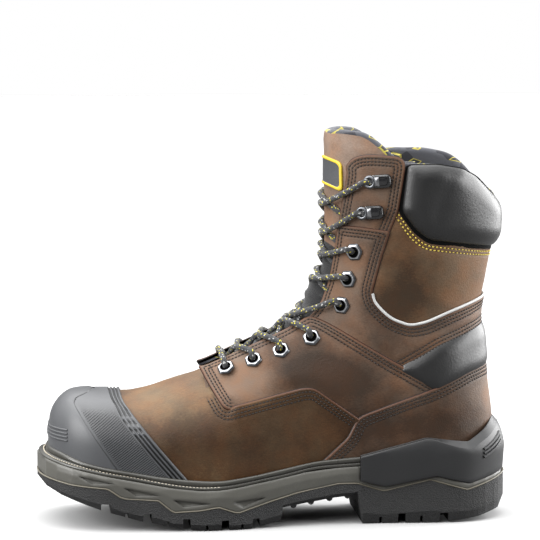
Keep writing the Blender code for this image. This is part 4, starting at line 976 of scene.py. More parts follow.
def ring_faces(rings, sides, flip=False):
    """Faces of a skin over rings of points: quads from ring to ring, and the two ends."""
    faces = []
    for a in range(0, (rings - 1) * sides, sides):
        b = a + sides
        for k in range(sides):
            n = (k + 1) % sides
            faces.append((a + k, b + k, b + n, a + n) if flip else (a + k, a + n, b + n, b + k))
    first, last = tuple(range(sides)), tuple(range((rings - 1) * sides, rings * sides))
    return faces + ([first, last[::-1]] if flip else [first[::-1], last])


def light_shade_and_tone_at(points):
    """Painted light and shade at points: how much paler or darker, from zones placed in the side view."""
    x, z = points[:, 0], points[:, 2]
    tone = PAINTED_LIGHT_RISE * (z - 130)
    for at_x, at_z, wide, high, amount in LIGHT_SHADE_AND_TONE_ZONES:
        tone += ZONE_STRENGTH * amount * np.exp(-((x - at_x) / wide) ** 2 - ((z - at_z) / high) ** 2)
    return tone


def panel(name, halves, face, thickness, materials, lines=None, spacing=2.4, rings=(0.35, 0.8, 1.5),
          floor_height=0.2, furrow=0.4, edge_drop=0.5, edge_width=0.7, relief=None, reach=SHADOW_SKIRT_REACH):
    """A panel over the last. face gives the height of its outer face, lines the stitch rows of each half."""
    verts, tris, slots, rims_and_shadow, furrows, tones = [], [], [], [], [], []
    edge_slot = len(materials) - 1
    for half in halves:
        rows = (lines or {}).get(half.side, [])
        t, a, flat, d, faces, order = net(half, rows, spacing, rings)
        v = half.side * a
        turn = 1 if half.side == LATERAL else -1
        height = face(t, v, flat, d, half.side)
        bottom = np.maximum(height - thickness, floor_height)
        over = np.clip(1 - d / EDGE_RADIUS, 0, 1)
        trough = np.zeros(len(t))
        for row in rows:
            trough = np.maximum(trough, np.exp(-(distance_to(flat, row) / FURROW_WIDTH) ** 2))
        height = height - edge_drop * (1 - np.sqrt(1 - over**2)) - furrow * trough
        if relief is not None:
            height = height + relief(t, v, flat, d)
        bottom = np.minimum(bottom, height - THINNEST)
        start, count, edge_count = len(verts), len(t), len(order)
        for tri in faces:
            ring = list(tri)[::turn]
            tris += [[start + i for i in ring], [start + count + i for i in ring[::-1]]]
            slots += [0, 0]
        # A thin skirt just outside each cut edge; the finish paints it near black, as painted contact shadow.
        way = unit(np.roll(half.loop, -1, 0) - np.roll(half.loop, 1, 0))
        outwards = np.column_stack([way[:, 1], -way[:, 0]])
        wide = reach + (SHADOW_SKIRT_REACH - reach) * np.clip(outwards[:, 1:], 0, 1)
        skirt_t, skirt_a = unflatten(half.loop + wide * outwards, half.side)
        verts += list(off_last(t, v, height)) + list(off_last(t, v, bottom))
        verts += list(off_last(skirt_t, half.side * skirt_a, bottom[order] + SHADOW_SKIRT_HEIGHT))
        # Rim 2.0 on the underside and the skirt makes the finish paint them near black: painted contact
        # shadow.
        rims_and_shadow += list(np.clip(1.25 - d / edge_width, 0, 1)) + [2.0] * (count + edge_count)
        furrows += list(trough) + [0.0] * (count + edge_count)
        # Painted light and shade, stored as the attribute tone on the face and the underside.
        tones += list(light_shade_and_tone_at(on_last(t, v))) * 2 + [0.0] * edge_count
        foot = start + 2 * count
        for k in range(edge_count):
            n = (k + 1) % edge_count
            if half.seam[k] and half.seam[n]:
                continue
            i, j = start + order[k], start + order[n]
            for quad in ([i, foot + k, foot + n, j], [foot + k, i + count, j + count, foot + n]):
                tris.append(quad[::turn])
                slots.append(edge_slot)
    values = {"rim": rims_and_shadow, "furrow": furrows, "tone": tones}
    obj = mesh_object(name, verts, tris, materials, slots, values, weld=0.06)
    flat_sizes = [" x ".join(str(round(n)) for n in np.ptp(half.loop, axis=0)) for half in halves]
    print(name, len(obj.data.polygons), "faces, flat", ", ".join(flat_sizes), "mm")
    return obj

# %% [markdown]
# Work boots are sewn with heavy thread in two or three rows along each overlap. Each stitch is a small
# bead of thread that dips into the leather at both ends. All the stitches of a panel are one mesh, made
# by copying one bead along the rows.

# %% Stitches
# Rings of a stitch: place along it, swell, and lift.
BEAD = ((-0.5, 0.35, -0.9), (-0.36, 0.9, -0.15), (0.0, 1.0, 0.18), (0.36, 0.9, -0.15), (0.5, 0.35, -0.9))


def bead(length, radius, sides=6):
    """One stitch along X: rings that swell in the middle and dip at the ends."""
    points = []
    for along, swell, lift in BEAD:
        for k in range(sides):
            angle = math.tau * k / sides
            points.append((along * length, radius * swell * math.cos(angle),
                           radius * (swell * math.sin(angle) * 0.8 + lift)))
    return np.array(points), ring_faces(len(BEAD), sides, flip=True)


def sew(name, rows, made, pitch=2.4, length=1.75, radius=0.42):
    """Stitches along rows of points and normals."""
    shape, shape_faces = bead(length, radius)
    verts, faces = [], []
    for points, normals in rows:
        steps = steps_along(points)
        if steps[-1] < pitch:
            continue
        at = np.arange(pitch / 2, steps[-1], steps[-1] / max(1, round(steps[-1] / pitch)))

        def value(array, places):
            return np.stack([np.interp(places, steps, array[:, i]) for i in range(3)], 1)

        middle, normal = value(points, at), value(normals, at)
        along = unit(value(points, at + length / 2) - value(points, at - length / 2))
        across = unit(np.cross(normal, along))
        for m, x, y, z in zip(middle, along, across, np.cross(along, across)):
            add_part(verts, faces, m + shape @ np.stack([x, y, z]), shape_faces)
    obj = mesh_object(name, verts, faces, [made])
    print(name, len(faces) // len(shape_faces), "stitches")
    return obj


def rows_on(half, lines, face, sink=0.12):
    """Rows of points and normals on a panel's face."""
    made = []
    for line in lines:
        t, a = unflatten(line, half.side)
        v = half.side * a
        height = face(t, v, line, np.full(len(t), 9.0), half.side) - sink
        made.append((off_last(t, v, height), normal_of(t, v)))
    return made


def sew_panel(name, halves, lines, face, *stitch):
    """All the stitches of a panel. halves and lines are given by side."""
    rows = [row for side, half in halves.items() for row in rows_on(half, lines[side], face)]
    return sew(name, rows, *stitch)


def flat_path(points, side, radius=2.5):
    """A line of the side view, on the flat sheet of one half."""
    t, a = from_side_view(rounded(points, radius, ROW_STEP))
    return flatten(t, a, side)


def lines_below(points, radius, offsets):
    """Stitch rows of both sides, at some distances below a line of the side view."""
    paths = {side: even(flat_path(points, side, radius), ROW_STEP) for side, _ in SIDES}
    return {side: [even(beside(path, -d), ROW_STEP) for d in offsets] for side, path in paths.items()}


# %% [markdown]
# The vamp is the one large piece over the forefoot. It runs under the toe cap and the counter, and its
# wings lie over the lower edge of the quarters, where three rows of stitches hold them. Towards that edge
# the face climbs by about the thickness of the quarter below it. A few low waves behind the cap break the
# shine, as in hand.

# %% Vamp
QUARTER_FRONT = ((-47.5, 97.3), (-34.2, 77.0), (-29.0, 76.6))
WING_EDGE = ((57.5, 66.5), (51.9, 70.5), (26.2, 88.3), (22.5, 89.5), (16.5, 89.3), (-13.5, 82.2),
             (-31.5, 77.7))
FLAP_CORNER = ((-38.6, 85.0), (-34.2, 77.0), (-29.0, 78.4), (-13.5, 82.2), (16.5, 89.3), (22.5, 89.5),
               (26.2, 88.3), (51.9, 70.5))
VAMP_FRONT_ROW = 4.55


def vamp_half(side):
    half = throat["half"](THROAT_ROW)
    return Half(side, (
        cut_line(((-106, 83.7), (-104.5, 78), (-92.5, 63), (-64.5, 30.5), (-62, 26.5))),
        cut_line(((-62, 26.5), (-41, 25.5), (-18, 28), (0.4, 31), (29, 36), (36, 37.5))),
        cut_line(((36, 37.5), (51, 55), (57.5, 66.5))),
        cut_line(WING_EDGE, 5.0),
        cut_line(((-31.5, 77.7), (-30.5, 80.5), (-39.5, 99.6))),
        throat_line(7.2, THROAT_ROW),
        row_line(THROAT_ROW, float(half), 0.0),
        top_seam(THROAT_ROW, VAMP_FRONT_ROW),
    ), soften=2)


WING_PATHS = {side: flat_path(WING_EDGE, side, 5.0) for side, _ in SIDES}
LINING_FACE, OVERLAY = 0.25, 1.7     # height of the outer face, for leather on the lining and for overlays
# Waves behind the cap: place along the boot, width and depth.
VAMP_WAVES = ((-62.0, 9.0, 0.35), (-78.0, 7.0, -0.3), (-50.0, 6.0, -0.25), (-90.0, 6.0, 0.2))


def near_path(points, path, reach):
    """From 1 on a path to 0 at a distance from it."""
    return smooth_step(1 - distance_to(points, path) / reach)


def vamp_face(t, v, flat, d, side):
    wing = near_path(flat, WING_PATHS[side], 13.0) * smooth_step((flat[:, 0] + 32) / 8)
    return LINING_FACE + 2.2 * wing


def vamp_relief(t, v, flat, d):
    x = on_last(t, v)[:, 0]
    high = smooth_step(1 - np.abs(v) / 0.75)
    waves = sum(depth * np.exp(-((x + 10 * np.abs(v) - at) / width) ** 2) for at, width, depth in VAMP_WAVES)
    return waves * high


vamp_halves = {side: vamp_half(side) for side, _ in SIDES}
vamp_rows = lines_below(FLAP_CORNER, 1.5, (2.4, 4.9, 7.2))
vamp = panel("vamp", vamp_halves.values(), vamp_face, 1.2, [vamp_brown], vamp_rows, floor_height=-0.9,
             relief=vamp_relief, spacing=2.6)
sew_panel("vamp_stitches", vamp_halves, vamp_rows, vamp_face, thread)

# %% [markdown]
# The quarters carry the lower eyelets. In front they end in a free corner over the vamp, and along the
# throat they stand up a little, because the foot under them is gone. Their long back edge lies over the
# ankle band.

# %% Quarters
QUARTER_BACK = ((109, 87.5), (105.3, 90.3), (85.8, 102.1), (79, 105.6), (60.2, 116.2), (41.8, 127.0),
                (34, 131.0), (27.5, 133.4), (23.5, 133.1))
COUNTER_EDGE = ((144, 102.6), (128, 99), (105, 89), (57, 71.4), (53, 69.0), (47.3, 57.1), (31.1, 42.3),
                (27.5, 38.5))


def quarter_half(side):
    return Half(side, (
        cut_line(QUARTER_FRONT, 1.2),
        cut_line(((-29, 76.6), (-13, 78.4), (16.5, 85.6), (22, 85.8), (25, 84.6), (50.5, 66.7))),
        cut_line(((50.5, 66.7), (57, 67), (104, 84.8), (109, 87.5))),
        cut_line(QUARTER_BACK, 5.0),
        throat_line(9.9, 6.93),
    ), soften=7)


COUNTER_PATHS = {side: flat_path(COUNTER_EDGE, side, 3.0) for side, _ in SIDES}
BACK_PATHS = {side: flat_path(QUARTER_BACK, side, 5.0) for side, _ in SIDES}


def quarter_face(t, v, flat, d, side):
    under_wing = near_path(flat, WING_PATHS[side], 10.0) * smooth_step((flat[:, 0] + 33) / 8)
    under_counter = near_path(flat, COUNTER_PATHS[side], 10.0)
    back = near_path(flat, BACK_PATHS[side], 12.0)
    return OVERLAY + flap_lift(t, lean(t, v)) - 0.8 * under_wing - 0.7 * under_counter + 0.45 * back


def quarter_relief(t, v, flat, d):
    x, _, z = on_last(t, v).T
    dent = -0.55 * np.exp(-((x - 30) / 16) ** 2 - ((z - 108) / 11) ** 2)
    swell = 0.35 * np.exp(-((x + 2) / 18) ** 2 - ((z - 98) / 9) ** 2)
    return (dent + swell) * smooth_step(d / 9)


for side, side_name in SIDES:
    half = quarter_half(side)
    rows = [half.row(2.2, 3, 4, 0), half.row(4.4, 3, 4, 0), half.row(7.3, 3), half.row(6.6, 0)]
    quarter = panel(f"quarter_{side_name}_panel", [half], quarter_face, 1.3, [brown], {side: rows},
                    relief=quarter_relief)
    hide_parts(f"quarter_{side_name}")
    stitches = sew(f"quarter_{side_name}_stitches", rows_on(half, rows, quarter_face), thread)

# %% [markdown]
# The counter wraps the heel over the ends of the quarters and the vamp's wings. Its edge is the topmost
# layer at the heel.

# %% Heel counter
def counter_half(side):
    return Half(side, (
        cut_line(COUNTER_EDGE, 3.0),
        cut_line(((27.5, 38.5), (54, 38.5), (100, 41), (146.3, 44))),
        back_seam(44, 102.6),
    ), soften=2)


def counter_face(t, v, flat, d, side):
    return OVERLAY + 0.1 + 0.75 * near_path(flat, COUNTER_PATHS[side], 12.0)


counter_halves = {side: counter_half(side) for side, _ in SIDES}
counter_rows = {side: [half.row(d, 0) for d in (2.2, 4.5, 6.8)] for side, half in counter_halves.items()}
counter = panel("heel_counter_panel", counter_halves.values(), counter_face, 1.4, [brown], counter_rows)
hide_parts("heel_counter")
stitches = sew_panel("heel_counter_stitches", counter_halves, counter_rows, counter_face, thread)

# %% [markdown]
# The ankle band is one strap: it comes up from under the quarter as the middle eyestay, and also runs
# back round the ankle below the piping. Its square top lies over the hook stay.

# %% Ankle band
BAND_UPPER = ((141.6, 147.3), (113.5, 138.0), (98, 131.8), (87.4, 129.8), (75.5, 134.3), (69, 140),
              (64.2, 146), (62.9, 152), (68.8, 176.3), (72.7, 188.8), (73.8, 192.6))


def band_half(side):
    return Half(side, (
        throat_line(16.4, 10.1),
        cut_line(((24.0, 133.0), (27, 129), (41, 122.8), (59, 112), (75, 102), (79, 98.3))),
        cut_line(((79, 98.3), (85.4, 102.1), (106.5, 114.4), (139.9, 127.6))),
        back_seam(127.6, 147.3),
        cut_line(BAND_UPPER, 4.0),
        cut_line(((73.8, 192.6), (60, 194.6), (42.3, 196))),
    ), soften=2)


def band_face(t, v, flat, d, side):
    under = near_path(flat, BACK_PATHS[side], 10.0)
    top = smooth_step((flat[:, 1] - 178) / 14)
    return OVERLAY + flap_lift(t, lean(t, v)) - 0.75 * under + 0.5 * top


band_halves = {side: band_half(side) for side, _ in SIDES}
band_rows = {}
for side, half in band_halves.items():
    band_rows[side] = [half.row(2.2, 4, 5, 0), half.row(4.4, 4, 5, 0), half.row(6.7, 4, 5)]
    band_rows[side] += [half.row(d, 2) for d in (2.2, 4.5, 6.9)]
band = panel("ankle_band_panel", band_halves.values(), band_face, 1.3, [brown], band_rows)
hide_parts("ankle_band")
sew_panel("ankle_band_stitches", band_halves, band_rows, band_face, thread)

# %% [markdown]
# The hook stay is the strip with the two speed hooks. Three rows of stitches run down both its edges and
# over its top.

# %% Hook stays
def stay_half(side):
    return Half(side, (
        throat_line(18.2, 15.9),
        cut_line(((40.5, 188), (70, 184.5))),
        cut_line(((70, 184.5), (73.6, 192.5), (78.8, 205.9), (82.8, 233.5), (82.6, 237.6), (80.8, 240.2),
                  (77.5, 241.3))),
        cut_line(((77.5, 241.3), (66, 242.2), (58.5, 242.2), (53.4, 241.1), (49.8, 238.9), (47.6, 236.0),
                  (46.4, 232.8))),
    ), soften=2)


def stay_face(t, v, flat, d, side):
    return OVERLAY - 0.1 + flap_lift(t, lean(t, v)) - 0.5 * smooth_step((204 - flat[:, 1]) / 12)


for side, side_name in SIDES:
    half = stay_half(side)
    rows = [half.row(d, 2, 3, 0) for d in (2.2, 4.4, 6.6)]
    stay = panel(f"hook_stay_{side_name}_panel", [half], stay_face, 1.2, [brown], {side: rows})
    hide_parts(f"hook_stay_{side_name}")
    stitches = sew(f"hook_stay_{side_name}_stitches", rows_on(half, rows, stay_face), thread)

# %% [markdown]
# The shaft's side is a single soft piece of leather below the collar. Two rows of yellow thread follow
# the padding.

# %% Shaft
PAD_LOWER = ((80.5, 205.5), (90.6, 190.7), (98.4, 184.9), (112.9, 183.0), (146, 178.2))


def shaft_half(side):
    return Half(side, (
        cut_line(((80, 213), (75, 206), (69.5, 191), (65, 176), (59.4, 152), (60, 144.5), (66, 136),
                  (74, 130.5), (87, 125.8), (98.5, 127.6), (114, 133.7), (141, 143.0))),
        back_seam(143, 187),
        cut_line(((146.6, 187), (113, 190), (100, 192), (93.5, 197.5), (85.5, 208), (85, 213), (80, 213))),
    ), soften=1)


def shaft_face(t, v, flat, d, side):
    return np.full(len(t), LINING_FACE)


def shaft_relief(t, v, flat, d):
    x, _, z = on_last(t, v).T
    return (0.45 * np.sin(x / 8.5 + 0.4) * np.exp(-((z - 160) / 22) ** 2)
            - 0.5 * np.exp(-((x - 92) / 14) ** 2 - ((z - 148) / 9) ** 2)) * smooth_step(d / 8)


shaft_halves = {side: shaft_half(side) for side, _ in SIDES}
shaft_rows = lines_below(PAD_LOWER, 4.0, (2.2, 4.6))
shaft = panel("shaft_panel", shaft_halves.values(), shaft_face, 1.2, [shaft_brown], shaft_rows,
              floor_height=-0.9, relief=shaft_relief, spacing=2.6, furrow=0.35)
stitches = sew_panel("shaft_stitches", shaft_halves, shaft_rows, shaft_face, yellow_thread, 2.7, 1.55, 0.45)

# %% [markdown]
# The padding at the collar and over the heel tendon is foam under a black coated cloth. It is thin at its
# sewn edge and swells quickly to an even thickness, so the light runs along it in one broad band. Foam
# like this is not cut from a block: the cloth is pulled down at the seam, and the height below is that
# pull. Outside the seam a matt black skirt, wider at the collar than at the heel, is painted shadow.

# %% Collar and heel pads
def pad_face(swell, reach, edge=1.0):
    def face(t, v, flat, d, side):
        rise = np.clip(d / reach, 0, 1)
        return edge + swell * (1 - (1 - rise) ** 2.3)

    return face


def collar_half(side):
    return Half(side, (
        cut_line(((150, 209.5), (140, 218.6), (131, 227.4), (121, 233), (104, 236.2), (84.8, 236.0),
                  (81.3, 206.0), (90.6, 193.6), (99.4, 186.8), (113.3, 184.9), (146, 180.2)), 3.0),
        back_seam(180.2, 209.5),
    ), soften=1)


def heel_pad_half(side):
    return Half(side, (
        cut_line(((139.7, 131), (106, 117.6), (83, 104.5), (80.5, 100), (105.5, 86.3), (128, 95.8),
                  (144, 99.3)), 3.0),
        back_seam(99.3, 131.0),
    ), soften=2)


def collar_folds(t, v, flat, d):
    x, _, z = on_last(t, v).T
    folds = (0.35 * np.exp(-((x - 96) / 5) ** 2) - 0.3 * np.exp(-((x - 104 - 0.3 * (z - 205)) / 4) ** 2)
             + 0.25 * np.sin(x / 6.0 + z / 11.0))
    return folds * smooth_step(d / 9)


PAD_DEPTH = 30.0     # more than any pad stands out, so that its underside lies on the last
PAD_SHAPE = dict(rings=(0.3, 0.7, 1.3, 2.1, 3.1, 4.4, 6.0), edge_width=0.01)
collar_pad = panel("collar_padding", [collar_half(side) for side, _ in SIDES], pad_face(5.0, 13.0), PAD_DEPTH,
                   [padding, pad_edge_shadow], relief=collar_folds, reach=2.6, **PAD_SHAPE)
heel_pad = panel("heel_padding", [heel_pad_half(side) for side, _ in SIDES], pad_face(3.2, 10.0), PAD_DEPTH,
                 [padding, pad_edge_shadow], reach=1.0, **PAD_SHAPE)
for pad, solid in ((collar_pad, "collar_pad"), (heel_pad, "achilles_pad")):
    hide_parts(solid)

# %% [markdown]
# Round pieces (piping, laces, ribs and bars) are tubes: a ring of points carried along a path. The ring
# keeps one side towards the boot, given by a normal at each point of the path.

# %% Tubes
def spline(points, spacing=0.6):
    """A smooth path through points, in even steps."""
    points = np.asarray(points, float)
    padded = np.vstack([2 * points[0] - points[1], points, 2 * points[-1] - points[-2]])
    path = []
    for p0, p1, p2, p3 in zip(padded, padded[1:], padded[2:], padded[3:]):
        for s in np.linspace(0, 1, 16, endpoint=False):
            path.append(0.5 * (2 * p1 + (p2 - p0) * s + (2 * p0 - 5 * p1 + 4 * p2 - p3) * s**2
                               + (3 * p1 - p0 - 3 * p2 + p3) * s**3))
    path.append(points[-1])
    return even(np.array(path), spacing)


def tube_mesh(path, normals, wide, high, sides=14, ripple=None):
    """Points and faces of a tube, with the distance along and the turn around at each point."""
    along = unit(np.gradient(path, axis=0))
    across = unit(np.cross(normals, along))
    up = np.cross(along, across)
    turn = np.linspace(0, math.tau, sides, endpoint=False)
    steps = steps_along(path)
    size = np.ones((len(path), sides)) if ripple is None else ripple(steps[:, None], turn[None, :])
    ring_x = (np.cos(turn) * wide)[None, :] * size
    ring_y = (np.sin(turn) * high)[None, :] * size
    verts = path[:, None] + across[:, None] * ring_x[..., None] + up[:, None] * ring_y[..., None]
    values = [np.broadcast_to(part, size.shape).ravel() for part in (steps[:, None], turn)]
    return verts.reshape(-1, 3), ring_faces(len(path), sides), values


# %% [markdown]
# Silver reflective piping lies in the seam between the ankle band and the shaft, and round the back of
# the heel.

# %% Piping
PIPING_HEIGHT, PIPING_WIDE, PIPING_HIGH = 1.25, 0.95, 0.9
PIPING_LINE = ((62.9, 151.5),) + BAND_UPPER[:7][::-1]
path, normals = [], []
for side, step in ((LATERAL, 1), (MEDIAL, -1)):
    t, a = unflatten(even(beside(flat_path(PIPING_LINE, side, 4.0), 0.75), 0.9), side)
    path.append(off_last(t, side * a, np.full(len(t), PIPING_HEIGHT))[::step])
    normals.append(normal_of(t, side * a)[::step])
path, normals = np.concatenate(path), np.concatenate(normals)
verts, faces, _ = tube_mesh(path, normals, PIPING_WIDE, PIPING_HIGH, 10)
piping = mesh_object("reflective_piping", verts, faces, [piping_tape])
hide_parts("piping")
print("piping:", len(path), "rings")

# %% [markdown]
# The inside of the boot is a soft lining on foam. It is made as a shell: one net for the outer face, hidden
# by the panels, and one for the lining, joined over a rolled edge at the collar. Both nets run in rows up the
# boot. The collar is cut a little lower on the outer side than on the inner side.

# %% Upper and lining
COLLAR_LINE = ((46, 229), (54, 233.5), (61, 238.4), (68, 240.8), (78, 240.8), (90, 240.5), (104, 240.5),
               (121, 237), (131, 231), (140, 222), (150, 214))
COLLAR_SHIFT = {LATERAL: -2.8, MEDIAL: 2.2}
COLLAR_FRONT_ROW = 18.3
ROLL, ROLL_ROWS = 3.2, 12
ROW_RISE = 19.5     # height from one row to the next at the collar
DROPS = np.concatenate([[0, 0.25, 0.6, 1.1, 1.7, 2.4, 3.2, 4.2], np.linspace(6, 60, 22)])


def shell(t, v, outer, inner, rim_rows=0):
    """A closed sheet between two heights over a net of rows (up) and columns (across)."""
    rows, cols = t.shape
    count = rows * cols
    verts = np.concatenate([off_last(t, v, outer).reshape(-1, 3), off_last(t, v, inner).reshape(-1, 3)])
    faces, slots = [], []
    for i in range(rows - 1):
        for j in range(cols - 1):
            quad = (i * cols + j, i * cols + j + 1, (i + 1) * cols + j + 1, (i + 1) * cols + j)
            faces.append(quad[::-1])
            slots.append(1 if i >= rows - 1 - rim_rows else 0)
            faces.append(tuple(count + k for k in quad))
            slots.append(1)
    border = ([(0, j) for j in range(cols)] + [(i, cols - 1) for i in range(1, rows)]
              + [(rows - 1, j) for j in range(cols - 2, -1, -1)] + [(i, 0) for i in range(rows - 2, 0, -1)])
    for (i, j), (m, n) in zip(border, border[1:] + border[:1]):
        a, b = i * cols + j, m * cols + n
        faces.append((a, b, count + b, count + a))
        slots.append(1)
    return verts, faces, slots


def round_end(distance, radius):
    """From 0 at an edge to 1 at a radius from it, as the height of a quarter circle."""
    return np.sqrt(np.clip(1 - (1 - np.clip(distance / radius, 0, 1)) ** 2, 0, 1))


def row_at(points, radius, spacing):
    """A function that gives the row where a line of the side view lies at a place a."""
    t, a = from_side_view(rounded(points, radius, spacing))
    order = np.argsort(a)
    return lambda at: np.interp(at, a[order], t[order])


collar_row = row_at(COLLAR_LINE, 6.0, 1.5)
base_a = np.abs(across_at(COLLAR_FRONT_ROW, -float(throat["half"](COLLAR_FRONT_ROW)) - 0.4))
front_t = np.linspace(0.02, 1, 40) ** 1.6 * THROAT_ROW
front_v = np.linspace(-1, 1, 61)
t, v = np.meshgrid(front_t, front_v, indexing="ij")
pieces = [shell(t, v, np.full(t.shape, -1.0), np.full(t.shape, -2.4))]
for side, _ in SIDES:
    t_rows, v_rows = [], []
    for s in np.linspace(0, 1, 64):
        shift = COLLAR_SHIFT[side] * smooth_step((s - 0.16) / 0.2) * smooth_step((0.88 - s) / 0.26)
        top_t = collar_row(base_a + s * (1 - base_a)) + shift / ROW_RISE
        low_rows = np.linspace(THROAT_ROW, top_t - 3.1, 50)
        column = np.concatenate([low_rows, top_t - DROPS[::-1] / ROW_RISE])
        edge = np.abs(across_at(column, -(throat["half"](column) + 0.4)))
        t_rows.append(column)
        v_rows.append(side * (edge + s * (1 - edge)))
    t, v = np.array(t_rows).T, np.array(v_rows).T
    drop = (t[-1] - t) * ROW_RISE
    round_over = round_end(drop, ROLL)
    padded_in = smooth_step(1 - drop / 45)
    swell = smooth_step(1 - drop / 9)
    lift = np.where(drop > 6, flap_lift(t, lean(t, v)), 0.0) * smooth_step((drop - 6) / 10)
    middle = -1.3 - 1.6 * padded_in + lift
    outer = middle + (1.1 + 1.5 * padded_in + 0.5 * swell) * round_over
    inner = middle - (1.1 + 2.0 * padded_in) * round_over
    outer = outer - 0.9 * smooth_step((drop - 6) / 5)
    if side == LATERAL:
        t, v, outer, inner = t[:, ::-1], v[:, ::-1], outer[:, ::-1], inner[:, ::-1]
    pieces.append(shell(t, v, outer, inner, ROLL_ROWS))
verts, faces, slots = [], [], []
for part_verts, part_faces, part_slots in pieces:
    add_part(verts, faces, part_verts, part_faces)
    slots += part_slots
upper = mesh_object("upper_and_lining", verts, faces, [brown, lining_cloth], slots, weld=0.03, angle=60)
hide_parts("upper")
print("upper:", len(faces), "faces")

# %% [markdown]
# The tongue is a padded tab: brown leather at the top, black cloth below where the laces cross, and the
# lining cloth inside, turned over the top edge as a soft binding. It lies just under the flaps and rises
# above them.

# %% Tongue
TONGUE_TOP = ((0, 250), (33, 253), (37, 257), (45, 258.4), (56, 257.4), (61.2, 255.3), (66.6, 251.3),
              (72, 246.3), (80, 238.5))
TONGUE_SINK, TONGUE_THICKNESS = 2.7, 5.0
LEATHER_ROW, CLOTH_ROWS = 15.5, 84
TONGUE_DROPS = np.array([0, 0.2, 0.5, 0.9, 1.4, 1.9, 2.5, 3.2, 4.2, 5.6, 7.5])
BULGE_SPOT, BULGE, BULGE_LENGTH = (27.0, 150.0), 6.5, 12.0
MIDDLE = 1e-6     # the middle line, a hair to one side of it
tongue_top_z = smooth_table(*zip(*TONGUE_TOP))
ridge_rows = np.linspace(6, 19.5, 1351)
ridge_line = off_last(ridge_rows, np.full(len(ridge_rows), MIDDLE), np.zeros(len(ridge_rows)))
ridge_pace = np.linalg.norm(np.gradient(ridge_line, ridge_rows, axis=0), axis=1)
bulge_at = np.linalg.norm(ridge_line[:, [0, 2]] - BULGE_SPOT, axis=1).argmin()


def tongue_rise(row, share):
    """How far the tongue stands out where it bridges the hollow at the ankle. share runs from 0 in the middle
    to 1 at the edge."""
    away = (row - ridge_rows[bulge_at]) * ridge_pace[bulge_at] / BULGE_LENGTH
    return BULGE * np.exp(-away ** 2) * np.clip(1 - share ** 2, 0, 1)


def tongue_reach(t):
    """Half-width to aim for on the last, so that the sunken tongue comes out as wide as it is."""
    return throat["tongue_half"](t) * (1.02 + 0.30 * smooth_step((t - 15.6) / 2.4))


def tongue_top_row(share):
    """The row where a column of the tongue ends."""
    t = np.linspace(17.0, 20.0, 400)
    v = across_at(t, share * tongue_reach(t))
    points = off_last(t, v, np.full(len(t), -TONGUE_SINK - TONGUE_THICKNESS / 2))
    over = points[:, 2] > tongue_top_z(points[:, 0]) - 0.6
    return t[over.argmax()] if over.any() else 20.0


t_cols, v_cols = [], []
for share in np.linspace(-1, 1, 73):
    top_t = tongue_top_row(share)
    cloth_rows = np.linspace(6.7, LEATHER_ROW, CLOTH_ROWS)
    leather_rows = np.linspace(LEATHER_ROW, top_t - 0.5, 30)[1:]
    column = np.concatenate([cloth_rows, leather_rows, top_t - TONGUE_DROPS[::-1] / ROW_RISE])
    t_cols.append(column)
    v_cols.append(across_at(column, (share or MIDDLE) * tongue_reach(column)))
t, v = np.array(t_cols).T, np.array(v_cols).T
share = np.linspace(-1, 1, t.shape[1])[None, :]
drop = (t[-1] - t) * ROW_RISE
edge_in = (1 - np.abs(share)) * 30
ends = round_end(np.minimum(drop, edge_in), 2.6)
middle = -TONGUE_SINK - TONGUE_THICKNESS / 2
waves = 0.5 * np.sin(t * 5.2) * smooth_step(LEATHER_ROW - t) + 0.35 * np.exp(-((t - 18.9) / 0.25) ** 2)
outer = middle + (TONGUE_THICKNESS / 2 + waves) * ends + tongue_rise(t, share)
inner = middle - TONGUE_THICKNESS / 2 * ends + tongue_rise(t, share)
tongue_verts, tongue_faces, tongue_slots = shell(t, v, outer, inner)
binding = (drop < 0.9 + 2.9 * smooth_step(np.abs(share) / 0.4))[:-1, :-1]
above_cloth = (np.arange(len(t) - 1) >= CLOTH_ROWS - 1)[:, None]
front_slots = np.where(binding, 1, np.where(above_cloth, 0, 2)).ravel()
tongue_slots[:2 * len(front_slots):2] = front_slots.tolist()
tongue = mesh_object("padded_tongue", tongue_verts, tongue_faces, [tongue_brown, lining_cloth, black_cloth],
                     tongue_slots, weld=0.02, angle=60)
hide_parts("tongue")
print("tongue:", len(tongue_faces), "faces")

# %% [markdown]
# The rubber toe cap is moulded in one piece: a smooth bumper in front, a lower field of fine ribs, and three
# grooves along the back edge. The grooves and the bumper's step are part of the cap's net, which is finest at
# the back; the grooves and the field between the ribs are painted dark, as painted shade. The ribs, a dark
# line of painted shadow at the foot of the step and the four bars at the tip are thin tubes laid on it,
# because a net that fine all over would be heavy.

# %% Toe cap
CAP_BACK = ((-101.7, 85.5), (-100.1, 79.9), (-87.6, 65.6), (-57.5, 30.6), (-54.0, 26.5))
CAP_FACE, BUMPER = 2.3, 0.9
RIB_FIELD = np.array(((-112, 92), (-113, 85.5), (-121, 83.2), (-132.4, 79.3), (-119.8, 61.5), (-104.6, 40.1),
                      (-97, 28), (-40, 15), (-40, 92)), float)
CAP_GROOVES, GROOVES_END = (2.2, 4.5, 6.8), 8.2
GROOVE_BREAKS = (70.5, 66.0, 62.0)
CAP_UNDERSIDE = 0.4
step_path = rounded([(-117.5, 84.2), *RIB_FIELD[2:7]], 4.0, 1.0)
cap_back_path = rounded(CAP_BACK, 3.0, 0.7)
cap_end = row_at(CAP_BACK, 3.0, 0.7)


def side_signed(points, loop):
    """Distance to a loop in the side view, positive inside it."""
    d = distance_to(points, np.vstack([loop, loop[:1]]))
    return np.where(inside(points, loop), d, -d)


